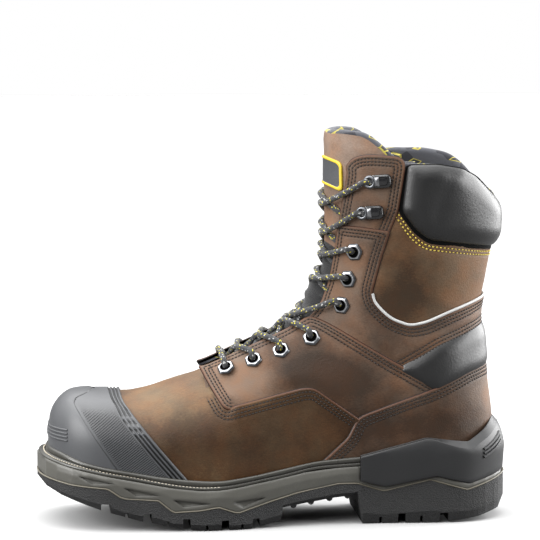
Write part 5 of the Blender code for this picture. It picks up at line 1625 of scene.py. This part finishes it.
def cap_height(t, v, back):
    """Height of the cap's face, and painted shade in its grooves and rib field. back is the distance to the
    back edge.
    """
    points = on_last(t, v)[..., [0, 2]].reshape(-1, 2)
    field = side_signed(points, RIB_FIELD).reshape(t.shape)
    z = on_last(t, v)[..., 2]
    beside_edge = distance_to(points, cap_back_path).reshape(t.shape)
    back = beside_edge + (back - beside_edge) * smooth_step((z - 68) / 12)
    height = CAP_FACE + BUMPER * (1 - smooth_step((field + 0.9) / 1.8))
    open_groove = np.ones(t.shape)
    for middle in GROOVE_BREAKS:
        open_groove *= np.clip(np.abs(z - middle) / 0.6 - 0.8, 0, 1)
    groove = sum(np.exp(-((back - d) / 0.62) ** 4) for d in CAP_GROOVES) * open_groove
    height = height - 0.95 * groove - 0.7 * np.clip(1 - back / 0.8, 0, 1) ** 2
    # Painted shade: the grooves and the field between the ribs are painted dark.
    rib_field_shade = 0.62 * smooth_step((field - 1.2) / 0.8) * smooth_step((80 - z) / 9) * (back > GROOVES_END)
    return height, np.clip(groove + rib_field_shade, 0, 1)


cap_shares = np.linspace(-1, 1, 151)
cap_drops = np.concatenate([np.linspace(0, 11.4, 39), [12.4, 14.2, 16.6, 19.4, 22.4]])
t_cols, v_cols, back_cols = [], [], []
for share in cap_shares:
    column_t = np.linspace(0, float(cap_end(abs(share))), 400)
    steps = steps_along(on_last(column_t, np.full(len(column_t), share or MIDDLE)))
    near = np.linspace(0.01, 1, 46)[:-1] ** 2.0
    back = np.concatenate([(steps[-1] - cap_drops[-1]) * (1 - near) + cap_drops[-1], cap_drops[::-1]])
    back = np.minimum(back, steps[-1] - 0.02)
    t_cols.append(np.interp(steps[-1] - back, steps, column_t))
    back_cols.append(back)
    v_cols.append(np.full(len(back), share or MIDDLE))
t, v, back = np.array(t_cols).T, np.array(v_cols).T, np.array(back_cols).T
outer, dark = cap_height(t, v, back)
cap_verts, cap_faces, _ = shell(t, v, outer, np.full(t.shape, CAP_UNDERSIDE))
cap_painted_shade = list(dark.ravel()) + [0.0] * dark.size

# Ribs: bars across the field, from the bumper's step to the grooves.
RIB_PITCH, RIB_WIDE, RIB_HIGH = 1.3, 0.44, 0.42
RIB_ALONG, RIB_ACROSS, RIB_MIDDLE = np.array((0.79, 0.61)), np.array((0.61, -0.79)), np.array((-100.0, 55.0))
STEP_RADIUS, STEP_SHADOW = 0.3, 0.65
TIP_BARS, TIP_WIDE, TIP_HIGH = (62.6, 60.5, 58.4, 56.3), 0.68, 0.62
cap_outline = np.vstack([cap_back_path, [(-170, 20), (-170, 95)]])
cap_verts, rib_count = list(cap_verts), 0
for side, _ in SIDES:
    for offset in np.arange(-52, 40, RIB_PITCH):
        line = RIB_MIDDLE + RIB_ACROSS * offset + np.linspace(-45, 45, 150)[:, None] * RIB_ALONG
        clear = (side_signed(line, RIB_FIELD) > 1.6) & (line[:, 1] < 78.5) & (line[:, 1] > 30)
        clear &= (distance_to(line, cap_back_path) > GROOVES_END + 0.2) & (side_signed(line, cap_outline) > 0)
        if clear.sum() < 6:
            continue
        line = line[clear]
        rt, ra = from_side_view(line)
        path = off_last(rt, side * ra, CAP_FACE - 0.04 - 0.44 * smooth_step((line[:, 1] - 70) / 9))
        both = even(np.hstack([path, normal_of(rt, side * ra)]), 2.2)
        part, part_faces, _ = tube_mesh(both[:, :3], both[:, 3:], RIB_WIDE, RIB_HIGH, 6)
        add_part(cap_verts, cap_faces, part, part_faces)
        rib_count += 1
cap_painted_shade += [0.0] * (len(cap_verts) - len(cap_painted_shade))
# A thin tube at the foot of the bumper's step, painted dark: a painted shadow line.
for side, _ in SIDES:
    st, sa = from_side_view(step_path)
    path = off_last(st, side * sa, np.full(len(st), CAP_FACE + 0.45 * BUMPER))
    part, part_faces, _ = tube_mesh(path, normal_of(st, side * sa), STEP_RADIUS, STEP_RADIUS, 6)
    add_part(cap_verts, cap_faces, part, part_faces)
cap_painted_shade += [STEP_SHADOW] * (len(cap_verts) - len(cap_painted_shade))
for z in TIP_BARS:
    round_tip = TOE_X + 1.5 * np.linspace(1, 0.02, 12)[1:] ** 2
    xs = np.concatenate([np.linspace(-134.2, -144.0, 12), round_tip])
    bt, ba = from_side_view(np.column_stack([xs, np.full(len(xs), z)]))
    height = np.full(len(bt), CAP_FACE + BUMPER + 0.1)
    path = even(np.concatenate([off_last(bt, -ba, height), off_last(bt, ba, height)[::-1]]), 0.9)
    normals = np.cross(np.gradient(path, axis=0), np.array((0, 0, 1.0)))
    part, part_faces, _ = tube_mesh(path, normals, TIP_WIDE, TIP_HIGH, 8)
    add_part(cap_verts, cap_faces, part, part_faces)
cap_painted_shade += [0.0] * (len(cap_verts) - len(cap_painted_shade))
toe_cap = mesh_object("toe_cap_shell", cap_verts, cap_faces, [cap_rubber], None, {"furrow": cap_painted_shade},
                      weld=0.004, angle=45)
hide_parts("toe_cap")
print("toe cap:", len(cap_faces), "faces,", rib_count, "ribs")

# %% [markdown]
# A small moulded patch is sewn to the tongue. It is left plain: a dark field with a raised yellow rim.

# %% Tongue patch
PATCH_ROWS, PATCH_HALF, PATCH_ROW_RISE = (17.45, 18.35), 24.0, 20.0
# Rings of the patch: inset, height, and finish (rim or field).
PATCH_RINGS = ((0.0, -0.4, 0), (0.0, 0.75, 0), (0.25, 1.05, 0), (0.6, 1.15, 0), (1.3, 1.15, 0),
               (1.6, 0.95, 0), (1.8, 0.55, 1), (3.0, 0.55, 1), (5.0, 0.55, 1), (7.0, 0.55, 1),
               (8.99, 0.55, 1))


def rounded_box(half_wide, half_high, radius, count=96):
    """Points round a box with round corners."""
    corners = ((1, 1), (-1, 1), (-1, -1), (1, -1))
    points = []
    for k, (sx, sy) in enumerate(corners):
        for angle in np.linspace(0, math.pi / 2, 9) + math.pi / 2 * k:
            points.append((sx * (half_wide - radius) + radius * math.cos(angle),
                           sy * (half_high - radius) + radius * math.sin(angle)))
    return even(np.array(points + points[:1]), 0.01 + 4 * (half_wide + half_high) / count)[:-1]


patch_middle = sum(PATCH_ROWS) / 2
patch_high = (PATCH_ROWS[1] - PATCH_ROWS[0]) / 2 * PATCH_ROW_RISE
outline = rounded_box(PATCH_HALF, patch_high, 3.0)
count = len(outline)
patch_verts = []
for inset, height, _ in PATCH_RINGS:
    ring = outline * np.array((1 - inset / PATCH_HALF, 1 - inset / patch_high))
    row = patch_middle + ring[:, 1] / PATCH_ROW_RISE
    patch_verts += list(off_last(row, across_at(row, ring[:, 0]), np.full(count, height - TONGUE_SINK + 0.3)))
patch_faces = ring_faces(len(PATCH_RINGS), count)[:-1]
patch_slots = [slot for _, _, slot in PATCH_RINGS[1:] for _ in range(count)] + [1]
patch_yellow = rubber("patch rim", (0.62, 0.44, 0.02, 1), (0.75, 0.6, 0.1, 1), 0.4, (0.35, 0.5))
patch_grey = rubber("patch field", (0.05, 0.052, 0.056, 1), grey(0.1), 0.5, (0.5, 0.65),
                    (900.0, 2600.0, 0.3, 0.0004))
patch = mesh_object("plain_tongue_patch", patch_verts, patch_faces, [patch_yellow, patch_grey], patch_slots,
                    weld=0.03)
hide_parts("tongue_patch")
print("patch:", len(patch_faces), "faces")

# %% [markdown]
# The eyelets are six-sided steel washers, polished on the face and darker on the bevel, with a rolled rim
# round the hole. The inside of the hole is painted black, as painted shadow. Each sits exactly on its
# solid: the middle, the normal and a corner are read from the solid's own points.

# %% Eyelets
def steel(name, colour, roughness):
    return rubber(name, colour, tuple(c * 0.8 for c in colour[:3]) + (1,), 0.3, roughness, metallic=1.0)


bright_steel = steel("bright steel", (0.50, 0.51, 0.53, 1), (0.22, 0.36))
hook_steel = steel("hook steel", (0.33, 0.335, 0.35, 1), (0.30, 0.44))
dark_steel = steel("gunmetal", (0.13, 0.135, 0.145, 1), (0.25, 0.4))
# Painted shadow: black inside the eyelets' holes and under the hooks' openings.
painted_hole_shadow = rubber("painted hole shadow", grey(0.002), grey(0.003), 0.5, (0.9, 1.0), specular_ior_level=0.0)
black_enamel = rubber("black enamel", (0.010, 0.010, 0.011, 1), grey(0.02), 0.3, (0.12, 0.24),
                      coat_weight=0.5, coat_roughness=0.1)
# Rings of a washer: radius, height, how six-sided it is, and finish (face, bevel, or hole painted black as
# shadow).
EYELET_RINGS = ((6.2, 0.0, 1.0, 1), (6.15, 0.45, 1.0, 1), (5.2, 1.4, 1.0, 1), (5.0, 1.5, 1.0, 0),
                (3.9, 1.55, 0.0, 0), (3.6, 1.65, 0.0, 1), (3.3, 1.45, 0.0, 2), (3.05, 1.0, 0.0, 2),
                (3.0, 0.7, 0.0, 2))
EYELET_STEPS, EYELET_COUNT, CORNER_CUT = 48, 7, 0.035


def node_frame(name):
    """Middle, outward normal and longest direction of a solid's points, in millimetres."""
    points = np.array([tuple(vert.co) for vert in solids[name].data.vertices]) / MM
    middle = points.mean(0)
    axes = np.linalg.svd(points - middle, full_matrices=False)[2]
    normal = axes[2]
    if normal @ (middle - np.array((middle[0] + 20, 0, middle[2] - 30))) < 0:
        normal = -normal
    return points, middle, normal, axes[0]


eyelets = {}
for side, side_name in SIDES:
    for number in range(1, EYELET_COUNT + 1):
        solid = f"eyelet_{side_name}_{number}"
        points, middle, normal, _ = node_frame(solid)
        depth = (points - middle) @ normal
        foot = middle + normal * depth.min()
        spokes = points - middle - np.outer(depth, normal)
        corner = spokes[np.linalg.norm(spokes, axis=1).argmax()]
        corner /= np.linalg.norm(corner)
        other = np.cross(normal, corner)
        eyelets[solid] = (foot, normal)
        verts = []
        for radius, height, hexagon, _ in EYELET_RINGS:
            for k in range(EYELET_STEPS):
                angle = math.tau * k / EYELET_STEPS
                within = (angle % (math.pi / 3)) - math.pi / 6
                reach = radius * (hexagon * math.cos(math.pi / 6) / math.cos(within) + (1 - hexagon))
                reach = min(reach, radius * (1 - CORNER_CUT * hexagon))
                spoke = corner * math.cos(angle) + other * math.sin(angle)
                verts.append(foot + spoke * reach + normal * height)
        faces = ring_faces(len(EYELET_RINGS), EYELET_STEPS)
        slots = [slot for _, _, _, slot in EYELET_RINGS[1:] for _ in range(EYELET_STEPS)] + [1, 2]
        eyelet = mesh_object(f"washer_{side_name}_{number}", verts, faces,
                             [bright_steel, dark_steel, painted_hole_shadow], slots, angle=28)
        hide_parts(solid)
print("eyelets:", len(eyelets))

# %% [markdown]
# A speed hook is a bent plate: a dark ring that the lace snaps into, and a black enamelled back with a
# pressed outline. The ring leans over the plate, and a bright saddle joins the two.

# %% Hooks
HOOK_HALF, HOOK_BACK, SADDLE_RINGS = 4.7, (6.6, 4.5), 14
# Rings of the black back: inset and height.
HOOK_RINGS = ((0.0, 0.0), (0.0, 2.2), (0.35, 3.0), (0.9, 3.35), (1.5, 3.4), (1.75, 3.05), (2.05, 3.05),
              (2.3, 3.45), (3.2, 3.6), (4.2, 3.65))


def hook_parts(origin, along, normal):
    """Points, faces and finishes of one hook. The lace's opening is at the origin."""
    across = np.cross(normal, along)

    def put(points):
        points = np.asarray(points, float)
        return origin + points[:, :1] * along + points[:, 1:2] * across + points[:, 2:] * normal

    verts, faces, slots = [], [], []

    def add(points, new_faces, slot):
        add_part(verts, faces, put(points), new_faces)
        slots.extend([slot] * len(new_faces))

    # Black back: a low dome with a pressed outline.
    half_long, half_wide = HOOK_BACK
    back = rounded_box(half_long, half_wide, 3.0, 64)
    points = []
    for inset, height in HOOK_RINGS:
        ring = back * np.array((1 - inset / half_long, 1 - inset / half_wide))
        points += [(x + 7.4, y, height - 0.06 * max(0.0, x)) for x, y in ring]
    add(points, ring_faces(len(HOOK_RINGS), len(back)), 1)
    # Dark ring that leans back.
    turns = np.linspace(0, math.tau, 37)[:-1]
    ring = np.stack([3.2 * np.cos(turns), 3.3 * np.sin(turns), 3.0 + 0.5 * np.cos(turns)], 1)
    ring = np.vstack([ring, ring[:1]])
    part, part_faces, _ = tube_mesh(ring, np.tile((0.0, 0.0, 1.0), (len(ring), 1)), 1.25, 1.35, 12)
    add(part, part_faces, 3)
    # Saddle from the ring to the back.
    points = []
    for s in np.linspace(0, 1, SADDLE_RINGS):
        x, arch = 2.2 + 4.2 * s, math.sin(math.pi * s)
        width = 4.3 - 1.1 * arch ** 1.5
        points += [(x, c * width, 3.7 + 0.65 * arch - 1.5 * abs(c) ** 3) for c in np.linspace(-1, 1, 13)]
        points += [(x, width, 0.2), (x, -width, 0.2)]
    add(points, ring_faces(SADDLE_RINGS, len(points) // SADDLE_RINGS, flip=True), 0)
    # Black disc under the opening, painted shadow.
    disc = [(3.0 * math.cos(a), 3.0 * math.sin(a), height) for height in (1.2, 0.0) for a in turns]
    add(disc, ring_faces(2, len(turns), flip=True), 2)
    return verts, faces, slots


hooks = {}
for side, side_name in SIDES:
    for number in (1, 2):
        solid = f"hook_{side_name}_{number}"
        points, middle, normal, along = node_frame(solid)
        along = along if along[0] > 0 else -along
        normal = normal - along * (normal @ along)
        normal /= np.linalg.norm(normal)
        reach, depth = (points - middle) @ along, (points - middle) @ normal
        origin = middle + along * (reach.min() + HOOK_HALF) + normal * depth.min()
        hooks[solid] = (origin, along, normal)
        verts, faces, slots = hook_parts(origin, along, normal)
        hook = mesh_object(f"speed_hook_{side_name}_{number}", verts, faces,
                           [hook_steel, black_enamel, painted_hole_shadow, dark_steel], slots, angle=40)
        outward(hook)
        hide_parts(solid)
print("hooks:", len(hooks))

# %% [markdown]
# The laces are round braided cord, dark grey with yellow and pale flecks. Each strand comes up through
# its washer, runs over the flap's edge, crosses the tongue, and goes down under the flap on the far side.
# Where two strands cross, one lies on the other. The braid is a small ripple of the tube, and the flecks
# follow it by the attributes along and around.

# %% Laces
LACE_RADIUS, STRANDS_APART = 1.9, 5.0
EYELET_SPOTS = ((-30.9, 101.4), (-14, 109.8), (3.1, 118.7), (21.6, 126.8), (44.3, 143.3), (48, 161.1),
                (51.9, 178.9))
HOOK_SPOTS = ((57, 204.6), (61.5, 225))
RIDGE_SPOTS = ((-29.1, 109.4), (-15.0, 119.0), (1.0, 127.7), (12.8, 138.0), (26.9, 159.4), (32.3, 175.4),
               (34.4, 189.9), (32.6, 209.0))
STRAIGHT_FROM = 3     # from this crossing up, a strand runs straight from its washer to the ridge


def lace_finish():
    made, tree, inputs = finish("braided lace", 0.75, sheen_weight=0.1, sheen_roughness=0.5)
    along, around = attribute(tree, "along"), attribute(tree, "around")
    length = tree.math("MULTIPLY", along, 0.84)
    turn = tree.math("MULTIPLY", around, 11 / math.tau)
    ways = [tree.math(operation, length, turn) for operation in ("ADD", "SUBTRACT")]
    cells = [tree.math("FLOOR", way) for way in ways]
    place = tree.node("ShaderNodeCombineXYZ", {0: cells[0], 1: cells[1]}).outputs[0]
    chance = tree.node("ShaderNodeTexWhiteNoise", {"Vector": place}, noise_dimensions="2D").outputs["Value"]
    colour = tree.mix(tree.range(chance, 0.0, 1.0), (0.020, 0.021, 0.023, 1), (0.055, 0.056, 0.060, 1))
    colour = tree.mix(tree.math("GREATER_THAN", chance, 0.90), colour, (0.42, 0.42, 0.41, 1))
    colour = tree.mix(tree.math("GREATER_THAN", chance, 0.952), colour, (0.55, 0.47, 0.03, 1))
    tree.join(colour, inputs["Base Color"])
    weave = [tree.math("SINE", tree.math("MULTIPLY", way, math.tau)) for way in ways]
    bump(tree, inputs, tree.math("MAXIMUM", *weave), 0.5, 0.0003)
    return made


lace_cord = lace_finish()


def braid(steps, turn):
    return 1 + 0.03 * np.sin(steps * 2.4 + turn * 4) * np.sin(steps * 2.4 - turn * 4)


def over(row, y, height):
    """One point over the last, given its row, distance from the middle and height."""
    row, y = np.array([float(row)]), np.array([float(y) or MIDDLE])
    return off_last(row, across_at(row, y), height + tongue_rise(row, y / tongue_reach(row)))[0]


lace_rows = [float(row) for row in row_through(np.array(EYELET_SPOTS + HOOK_SPOTS))]


def strand_start(side, index):
    """Points where a strand comes out of its washer, or lies in its hook."""
    name = dict(SIDES)[side]
    if index < EYELET_COUNT:
        foot, normal = eyelets[f"eyelet_{name}_{index + 1}"]
        edge = over(lace_rows[index], side * float(throat["half"](lace_rows[index])), 3.0)
        towards = edge - foot
        towards -= normal * (towards @ normal)
        towards /= np.linalg.norm(towards)
        return [foot - normal * 1.6 + towards * 0.7, foot + normal * 0.5 + towards * 1.0,
                foot + normal * 2.6 + towards * 2.6, foot + normal * 3.3 + towards * 4.8]
    origin, along, normal = hooks[f"hook_{name}_{index - EYELET_COUNT + 1}"]
    return [origin + normal * up + along * forward for up, forward in ((1.9, 1.6), (2.6, -1.2), (3.0, -4.0))]


LACE_REST = LACE_RADIUS - TONGUE_SINK
lace_ridge = off_last(ridge_rows, np.full(len(ridge_rows), MIDDLE), LACE_REST + tongue_rise(ridge_rows, 0.0))


def part_way(start, ridge, rows, y, height):
    """A point at a distance from the middle, in the row where it comes nearest to the line from start to
    ridge in the side view."""
    height = height + tongue_rise(rows, y / tongue_reach(rows))
    points = off_last(rows, across_at(rows, np.full(len(rows), y)), height)
    way, reach = (ridge - start)[[0, 2]], points[:, [0, 2]] - start[[0, 2]]
    return points[np.abs(way[0] * reach[:, 1] - way[1] * reach[:, 0]).argmin()]


def crossing(number):
    """The two strands between one pair of washers and the next. The near strand lies on the far one."""
    high = lace_rows[number + 1]
    nearest = np.linalg.norm(lace_ridge[:, [0, 2]] - np.array(RIDGE_SPOTS[number]), axis=1).argmin()
    ridge_row, step = ridge_rows[nearest], 1 / ridge_pace[nearest]
    edge = float(throat["half"](high))
    rise = OVERLAY + float(flap_lift(high, edge)) + LACE_RADIUS + 0.2
    strands = []
    for side, _ in SIDES:
        on_top = side == LATERAL
        middle_row = ridge_row + (0.0 if on_top else STRANDS_APART * step)
        far_row = middle_row - STRANDS_APART * step
        far_edge = float(throat["half"](far_row))
        points = strand_start(side, number + 1)
        start = points[-1]
        ridge = over(middle_row, 0.0, LACE_REST + (0.5 if on_top else 0.0))
        half_way = 0.5 * (rise + LACE_REST) + (1.0 if on_top else -0.7)
        for y, height in ((edge + 0.5, rise), (0.5 * edge, half_way)):
            rows = high + (middle_row - high) * (1 - np.array([y / abs(start[1])]))
            if number >= STRAIGHT_FROM:
                rows = np.linspace(min(high, middle_row) - 1.0, max(high, middle_row) + 1.0, 401)
            points.append(part_way(start, ridge, rows, side * y, height))
        points += [ridge,
                   over(0.5 * (middle_row + far_row), -side * far_edge * 0.55, LACE_REST + 0.5),
                   over(far_row, -side * (far_edge - 2.4), LACE_REST + 0.4),
                   over(far_row - step, -side * (far_edge + 2.5), LACE_REST - 1.0)]
        strands.append(spline(points))
    return strands


def lace_bar_strand():
    row = lace_rows[0]
    edge = float(throat["half"](row))
    first, last = strand_start(LATERAL, 0), strand_start(MEDIAL, 0)
    rise = OVERLAY + float(flap_lift(row, edge)) + LACE_RADIUS + 0.25
    places = ((1 - edge, rise), (-edge * 0.5, 4.6), (0.0, 4.8), (edge * 0.5, 4.6), (edge - 1, rise))
    return [spline(first + [over(row, y, height) for y, height in places] + last[::-1])]


lace_length = 0.0
laces = {"lace_bar": lace_bar_strand()}
for number in range(len(RIDGE_SPOTS)):
    laces[f"lace_crossing_{number + 1}"] = crossing(number)
for name, strands in laces.items():
    verts, faces, alongs, arounds = [], [], [], []
    for path in strands:
        away_from = path - np.array([(45.0, 0.0, p[2] - 25.0) for p in path])
        part, part_faces, (steps, turn) = tube_mesh(path, away_from, LACE_RADIUS, LACE_RADIUS, 16, braid)
        add_part(verts, faces, part, part_faces)
        alongs += list(steps + 37.0 * len(verts) % 50)
        arounds += list(turn)
        lace_length += steps.max()
    values = {"along": alongs, "around": arounds}
    lace = mesh_object(f"cord_{name}", verts, faces, [lace_cord], None, values)
    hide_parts(name)
print("visible lace:", round(lace_length), "mm")

# %% [markdown]
# The sole is a stack: tread, midsole, and a welt with a shining rib against the leather. Tread and
# midsole keep their solids, with rounded edges and a rubber finish. The rest follows the plan of the
# feather line at its own distance, so each is a profile of margins and heights carried round the plan.

# %% Plan of the sole
PARTING_Z = ((-157, 33), (-134, 29.3), (-111, 27.6), (-101.5, 21.2), (-78.4, 20), (-68.8, 12.2),
             (-51.4, 13.2), (-39.4, 15.2), (-26.8, 10.8), (-4.7, 17.4), (12.7, 22), (40.3, 27), (52.8, 27),
             (70.5, 21.5), (101.2, 28.8), (126, 21.5), (157, 30))


def stations(kind, start_x, straight=2.6):
    """Columns of the plan from one side, round the toe or the heel, to the other side. Each has its side, and
    a straight x or the turn at the end."""
    end_x, steps = (TOE_X + TOE_DEPTH, 46) if kind == "toe" else (HEEL_X - HEEL_DEPTH, 34)
    xs = np.linspace(start_x, end_x, int(abs(end_x - start_x) / straight) + 1)
    turns = np.linspace(0, math.pi / 2, steps)[1:]
    half = [("x", x) for x in xs] + [(kind, a) for a in turns]
    return [(LATERAL,) + c for c in half] + [(MEDIAL,) + c for c in half[::-1][1:]]


def plan_point(column, margin):
    """Place in plan of a column, at a margin outside the feather line: a number, or a function of x."""
    side, kind, value = column
    name = dict(SIDES)[side]
    grow = margin if callable(margin) else (lambda x: margin)
    if kind == "x":
        x, share = value, 1.0
    elif kind == "toe":
        share = max(math.cos(value), 0.0) ** (2 / TOE_POWER)
        x = TOE_X + TOE_DEPTH - (TOE_DEPTH + float(grow(TOE_X))) * math.sin(value) ** (2 / TOE_POWER)
    else:
        share = max(math.cos(value), 0.0)
        x = HEEL_X - HEEL_DEPTH + (HEEL_DEPTH + float(grow(HEEL_X))) * math.sin(value)
    half = (float(plan[name](x)) + float(grow(x))) * share
    return x, float(plan["centre"](x)) + side * half


def sweep(columns, profile):
    """Carries a profile round the plan. profile(x) gives margins and heights, at a column's own x."""
    verts = []
    for column in columns:
        guess, _ = plan_point(column, 5.0)
        verts += [(*plan_point(column, margin), z) for margin, z in profile(guess)]
    return verts, ring_faces(len(columns), len(verts) // len(columns), flip=True)


# %% [markdown]
# Solids that stay get a Bevel modifier, because no moulded edge is perfectly sharp and a round one
# catches light.

# %% Tread, midsole and insole
SHARP = math.radians(32)
KEPT = (("outsole", tread_rubber, 0.55), ("midsole", olive_rubber, 0.5), ("insole", foam_cloth, 0.6))
for solid, made, width in KEPT:
    obj = solids[solid]
    obj.data.materials.clear()
    obj.data.materials.append(made)
    bevel = obj.modifiers.new("round edges", "BEVEL")
    bevel.width = width * MM
    bevel.segments = 2
    bevel.limit_method = "ANGLE"
    bevel.angle_limit = SHARP
    bevel.harden_normals = False
    obj.data.shade_smooth()
    obj.data.set_sharp_from_angle(angle=SHARP)
print("kept solids dressed:", len(KEPT))

# %% [markdown]
# The welt: a flat ledge on the midsole and a round rib that hides the leather's lower edge. Between them
# runs the stitch groove.

# %% Welt
WELT_END, WELT_LIFT = 54.7, 0.3


def ledge_at(x):
    """Margins of the welt's ledge: its outer edge, and the foot of the groove."""
    ledge = max(float(plan["margin"](x)) - 1.2, 5.0)
    return ledge, min(5.3, ledge - 0.75)


def welt_profile(x):
    low = float(midsole_top_z(x)) + WELT_LIFT
    rise = float(feather_z(x)) + 0.6 - low
    ledge, foot = ledge_at(x)
    points = [(-0.5, low), (ledge - 0.3, low), (ledge, low + 0.35), (ledge, low + 1.45),
              (ledge - 0.45, low + 1.85)]
    points += [(foot + 0.25, low + 1.8), (foot, low + 1.1), (foot - 0.45, low + 1.1)]
    middle, radius = 0.55 * (rise - 1.6) + 1.6, (rise - 1.3) / 2
    for angle in np.linspace(-0.9, 1.5, 9):
        points.append((3.0 + 1.75 * math.cos(angle), low + middle + radius * 0.93 * math.sin(angle)))
    points += [(1.6, low + rise - 0.35), (-0.5, low + rise - 1.2)]
    return points


welt_columns = stations("toe", WELT_END)
verts, faces = sweep(welt_columns, welt_profile)
welt = mesh_object("welt_rib", verts, faces, [welt_rubber], angle=60)
outward(welt)
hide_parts("welt")
print("welt:", len(faces), "faces")

# %% [markdown]
# Welt stitches show as pale beads on the wide ledge round the toe, and as dark ones in the narrow groove
# along the sides.

# %% Welt stitches
def welt_row(columns):
    points = []
    for column in columns:
        ledge, foot = ledge_at(plan_point(column, 5.0)[0])
        x, y = plan_point(column, foot + 0.1 + 0.25 * max(0.0, ledge - foot - 1.2))
        points.append((x, y, float(midsole_top_z(x)) + WELT_LIFT + 1.75))
    return np.array(points)


PALE_END, WELT_STITCH = -38, (2.3, 1.7, 0.42)
row = even(welt_row(welt_columns), ROW_STEP)
ups = np.tile((0.0, 0.0, 1.0), (len(row), 1))
front = np.flatnonzero(row[:, 0] < PALE_END)
rows_dark = [(row[:front[0]], ups[:front[0]]), (row[front[-1]:], ups[front[-1]:])]
sew("welt_stitches_toe", [(row[front], ups[front])], cream_thread, *WELT_STITCH)
sew("welt_stitches_sides", rows_dark, thread, *WELT_STITCH)

# %% [markdown]
# Where midsole and tread are joined, a thin tan line shows all round. It is a bead that follows the
# zigzag of the joint.

# %% Parting line
MEETING_X = 6.0     # where the columns round the toe meet those round the heel
toe, heel = stations("toe", MEETING_X), stations("heel", MEETING_X)
tip = len(toe) // 2 + 1
parting_path = []
for column in toe[:tip][::-1] + heel[1:-1] + toe[tip:][::-1]:
    x, y = plan_point(column, lambda at: float(plan["margin"](at)) - 0.25)
    parting_path.append((x, y, float(np.interp(x, *zip(*PARTING_Z))) - 0.1))
parting_path = even(np.array(parting_path + parting_path[:1]), 1.2)
normals = parting_path * np.array((0.3, 1.0, 0.0))
verts, faces, _ = tube_mesh(parting_path, normals, 0.5, 0.62, 8)
parting = mesh_object("parting_line", verts, faces, [tan_rubber])
print("parting line:", len(parting_path), "rings")

# %% [markdown]
# The stabilizer cups the heel. Its wall leans in towards the top, and behind the ankle the top edge is
# cut to a bevel that catches the light. Three small bars on each side of the back are part of the mould.

# %% Heel stabilizer
STABILIZER_LOW = ((55, 28.6), (71.5, 24.6), (105.5, 31.2), (127, 25.6), (146, 30), (170, 35))
STABILIZER_TOP = ((55, 45.4), (98.7, 56.3), (127, 53), (140, 60), (150, 66), (170, 72))
STABILIZER_WALL = ((20, 8.2), (31, 8.6), (47, 9.6), (55, 8.0), (66, 3.4), (74, 1.0))


def wall_margin(z):
    return np.interp(z, *zip(*STABILIZER_WALL))


def stabilizer_profile(x):
    low = float(np.interp(x, *zip(*STABILIZER_LOW)))
    top = float(np.interp(x, *zip(*STABILIZER_TOP)))
    crease = top - max(4.4 * float(smooth_step((x - 96) / 30)), 0.9)
    points = [(4.7, low + 0.2)]
    m = float(wall_margin(low))
    points += [(m - 0.8, low), (m - 0.25, low + 0.2), (m, low + 0.8)]
    for z in low + (crease - low) * np.linspace(0.12, 0.94, 9):
        points.append((float(wall_margin(z)), z))
    m = float(wall_margin(crease))
    points += [(m - 0.05, crease - 0.5), (m - 0.25, crease), (m - 0.75, crease + 0.45)]
    inner = min(float(wall_margin(top)) - 1.4, m - 4.244)
    points += [(inner + 0.45, top - 0.35), (inner, top), (inner - 0.6, top - 0.1),
               (max(inner - 1.4, 1.6), top - 0.9), (1.6, low + (top - low) * 0.45),
               (3.6, low + (top - low) * 0.2)]
    return points


BAR_COUNT, BAR_PITCH, BAR_FOOT, BAR_RISE = 3, 2.6, 47.6, 8.8
BAR_TURNS = (0.62, 1.14)
verts, faces = sweep(stations("heel", 55.0), stabilizer_profile)
for side, _ in SIDES:
    for k in range(BAR_COUNT):
        path = []
        for turn in np.linspace(*BAR_TURNS, 22):
            rise = (turn - BAR_TURNS[0]) / (BAR_TURNS[1] - BAR_TURNS[0])
            z = BAR_FOOT - BAR_PITCH * k + BAR_RISE * rise
            path.append((*plan_point((side, "heel", turn), float(wall_margin(z)) + 0.05), z))
        path = even(np.array(path), 0.9)
        normals = path - np.array((HEEL_X - HEEL_DEPTH, 0.0, 0.0))
        normals[:, 2] = 3.0
        part, part_faces, _ = tube_mesh(path, normals, 1.0, 1.2, 10)
        add_part(verts, faces, part, part_faces)
stabilizer = mesh_object("heel_cup", verts, faces, [heel_rubber], angle=24)
outward(stabilizer)
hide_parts("heel_stabilizer")
print("heel cup:", len(faces), "faces")
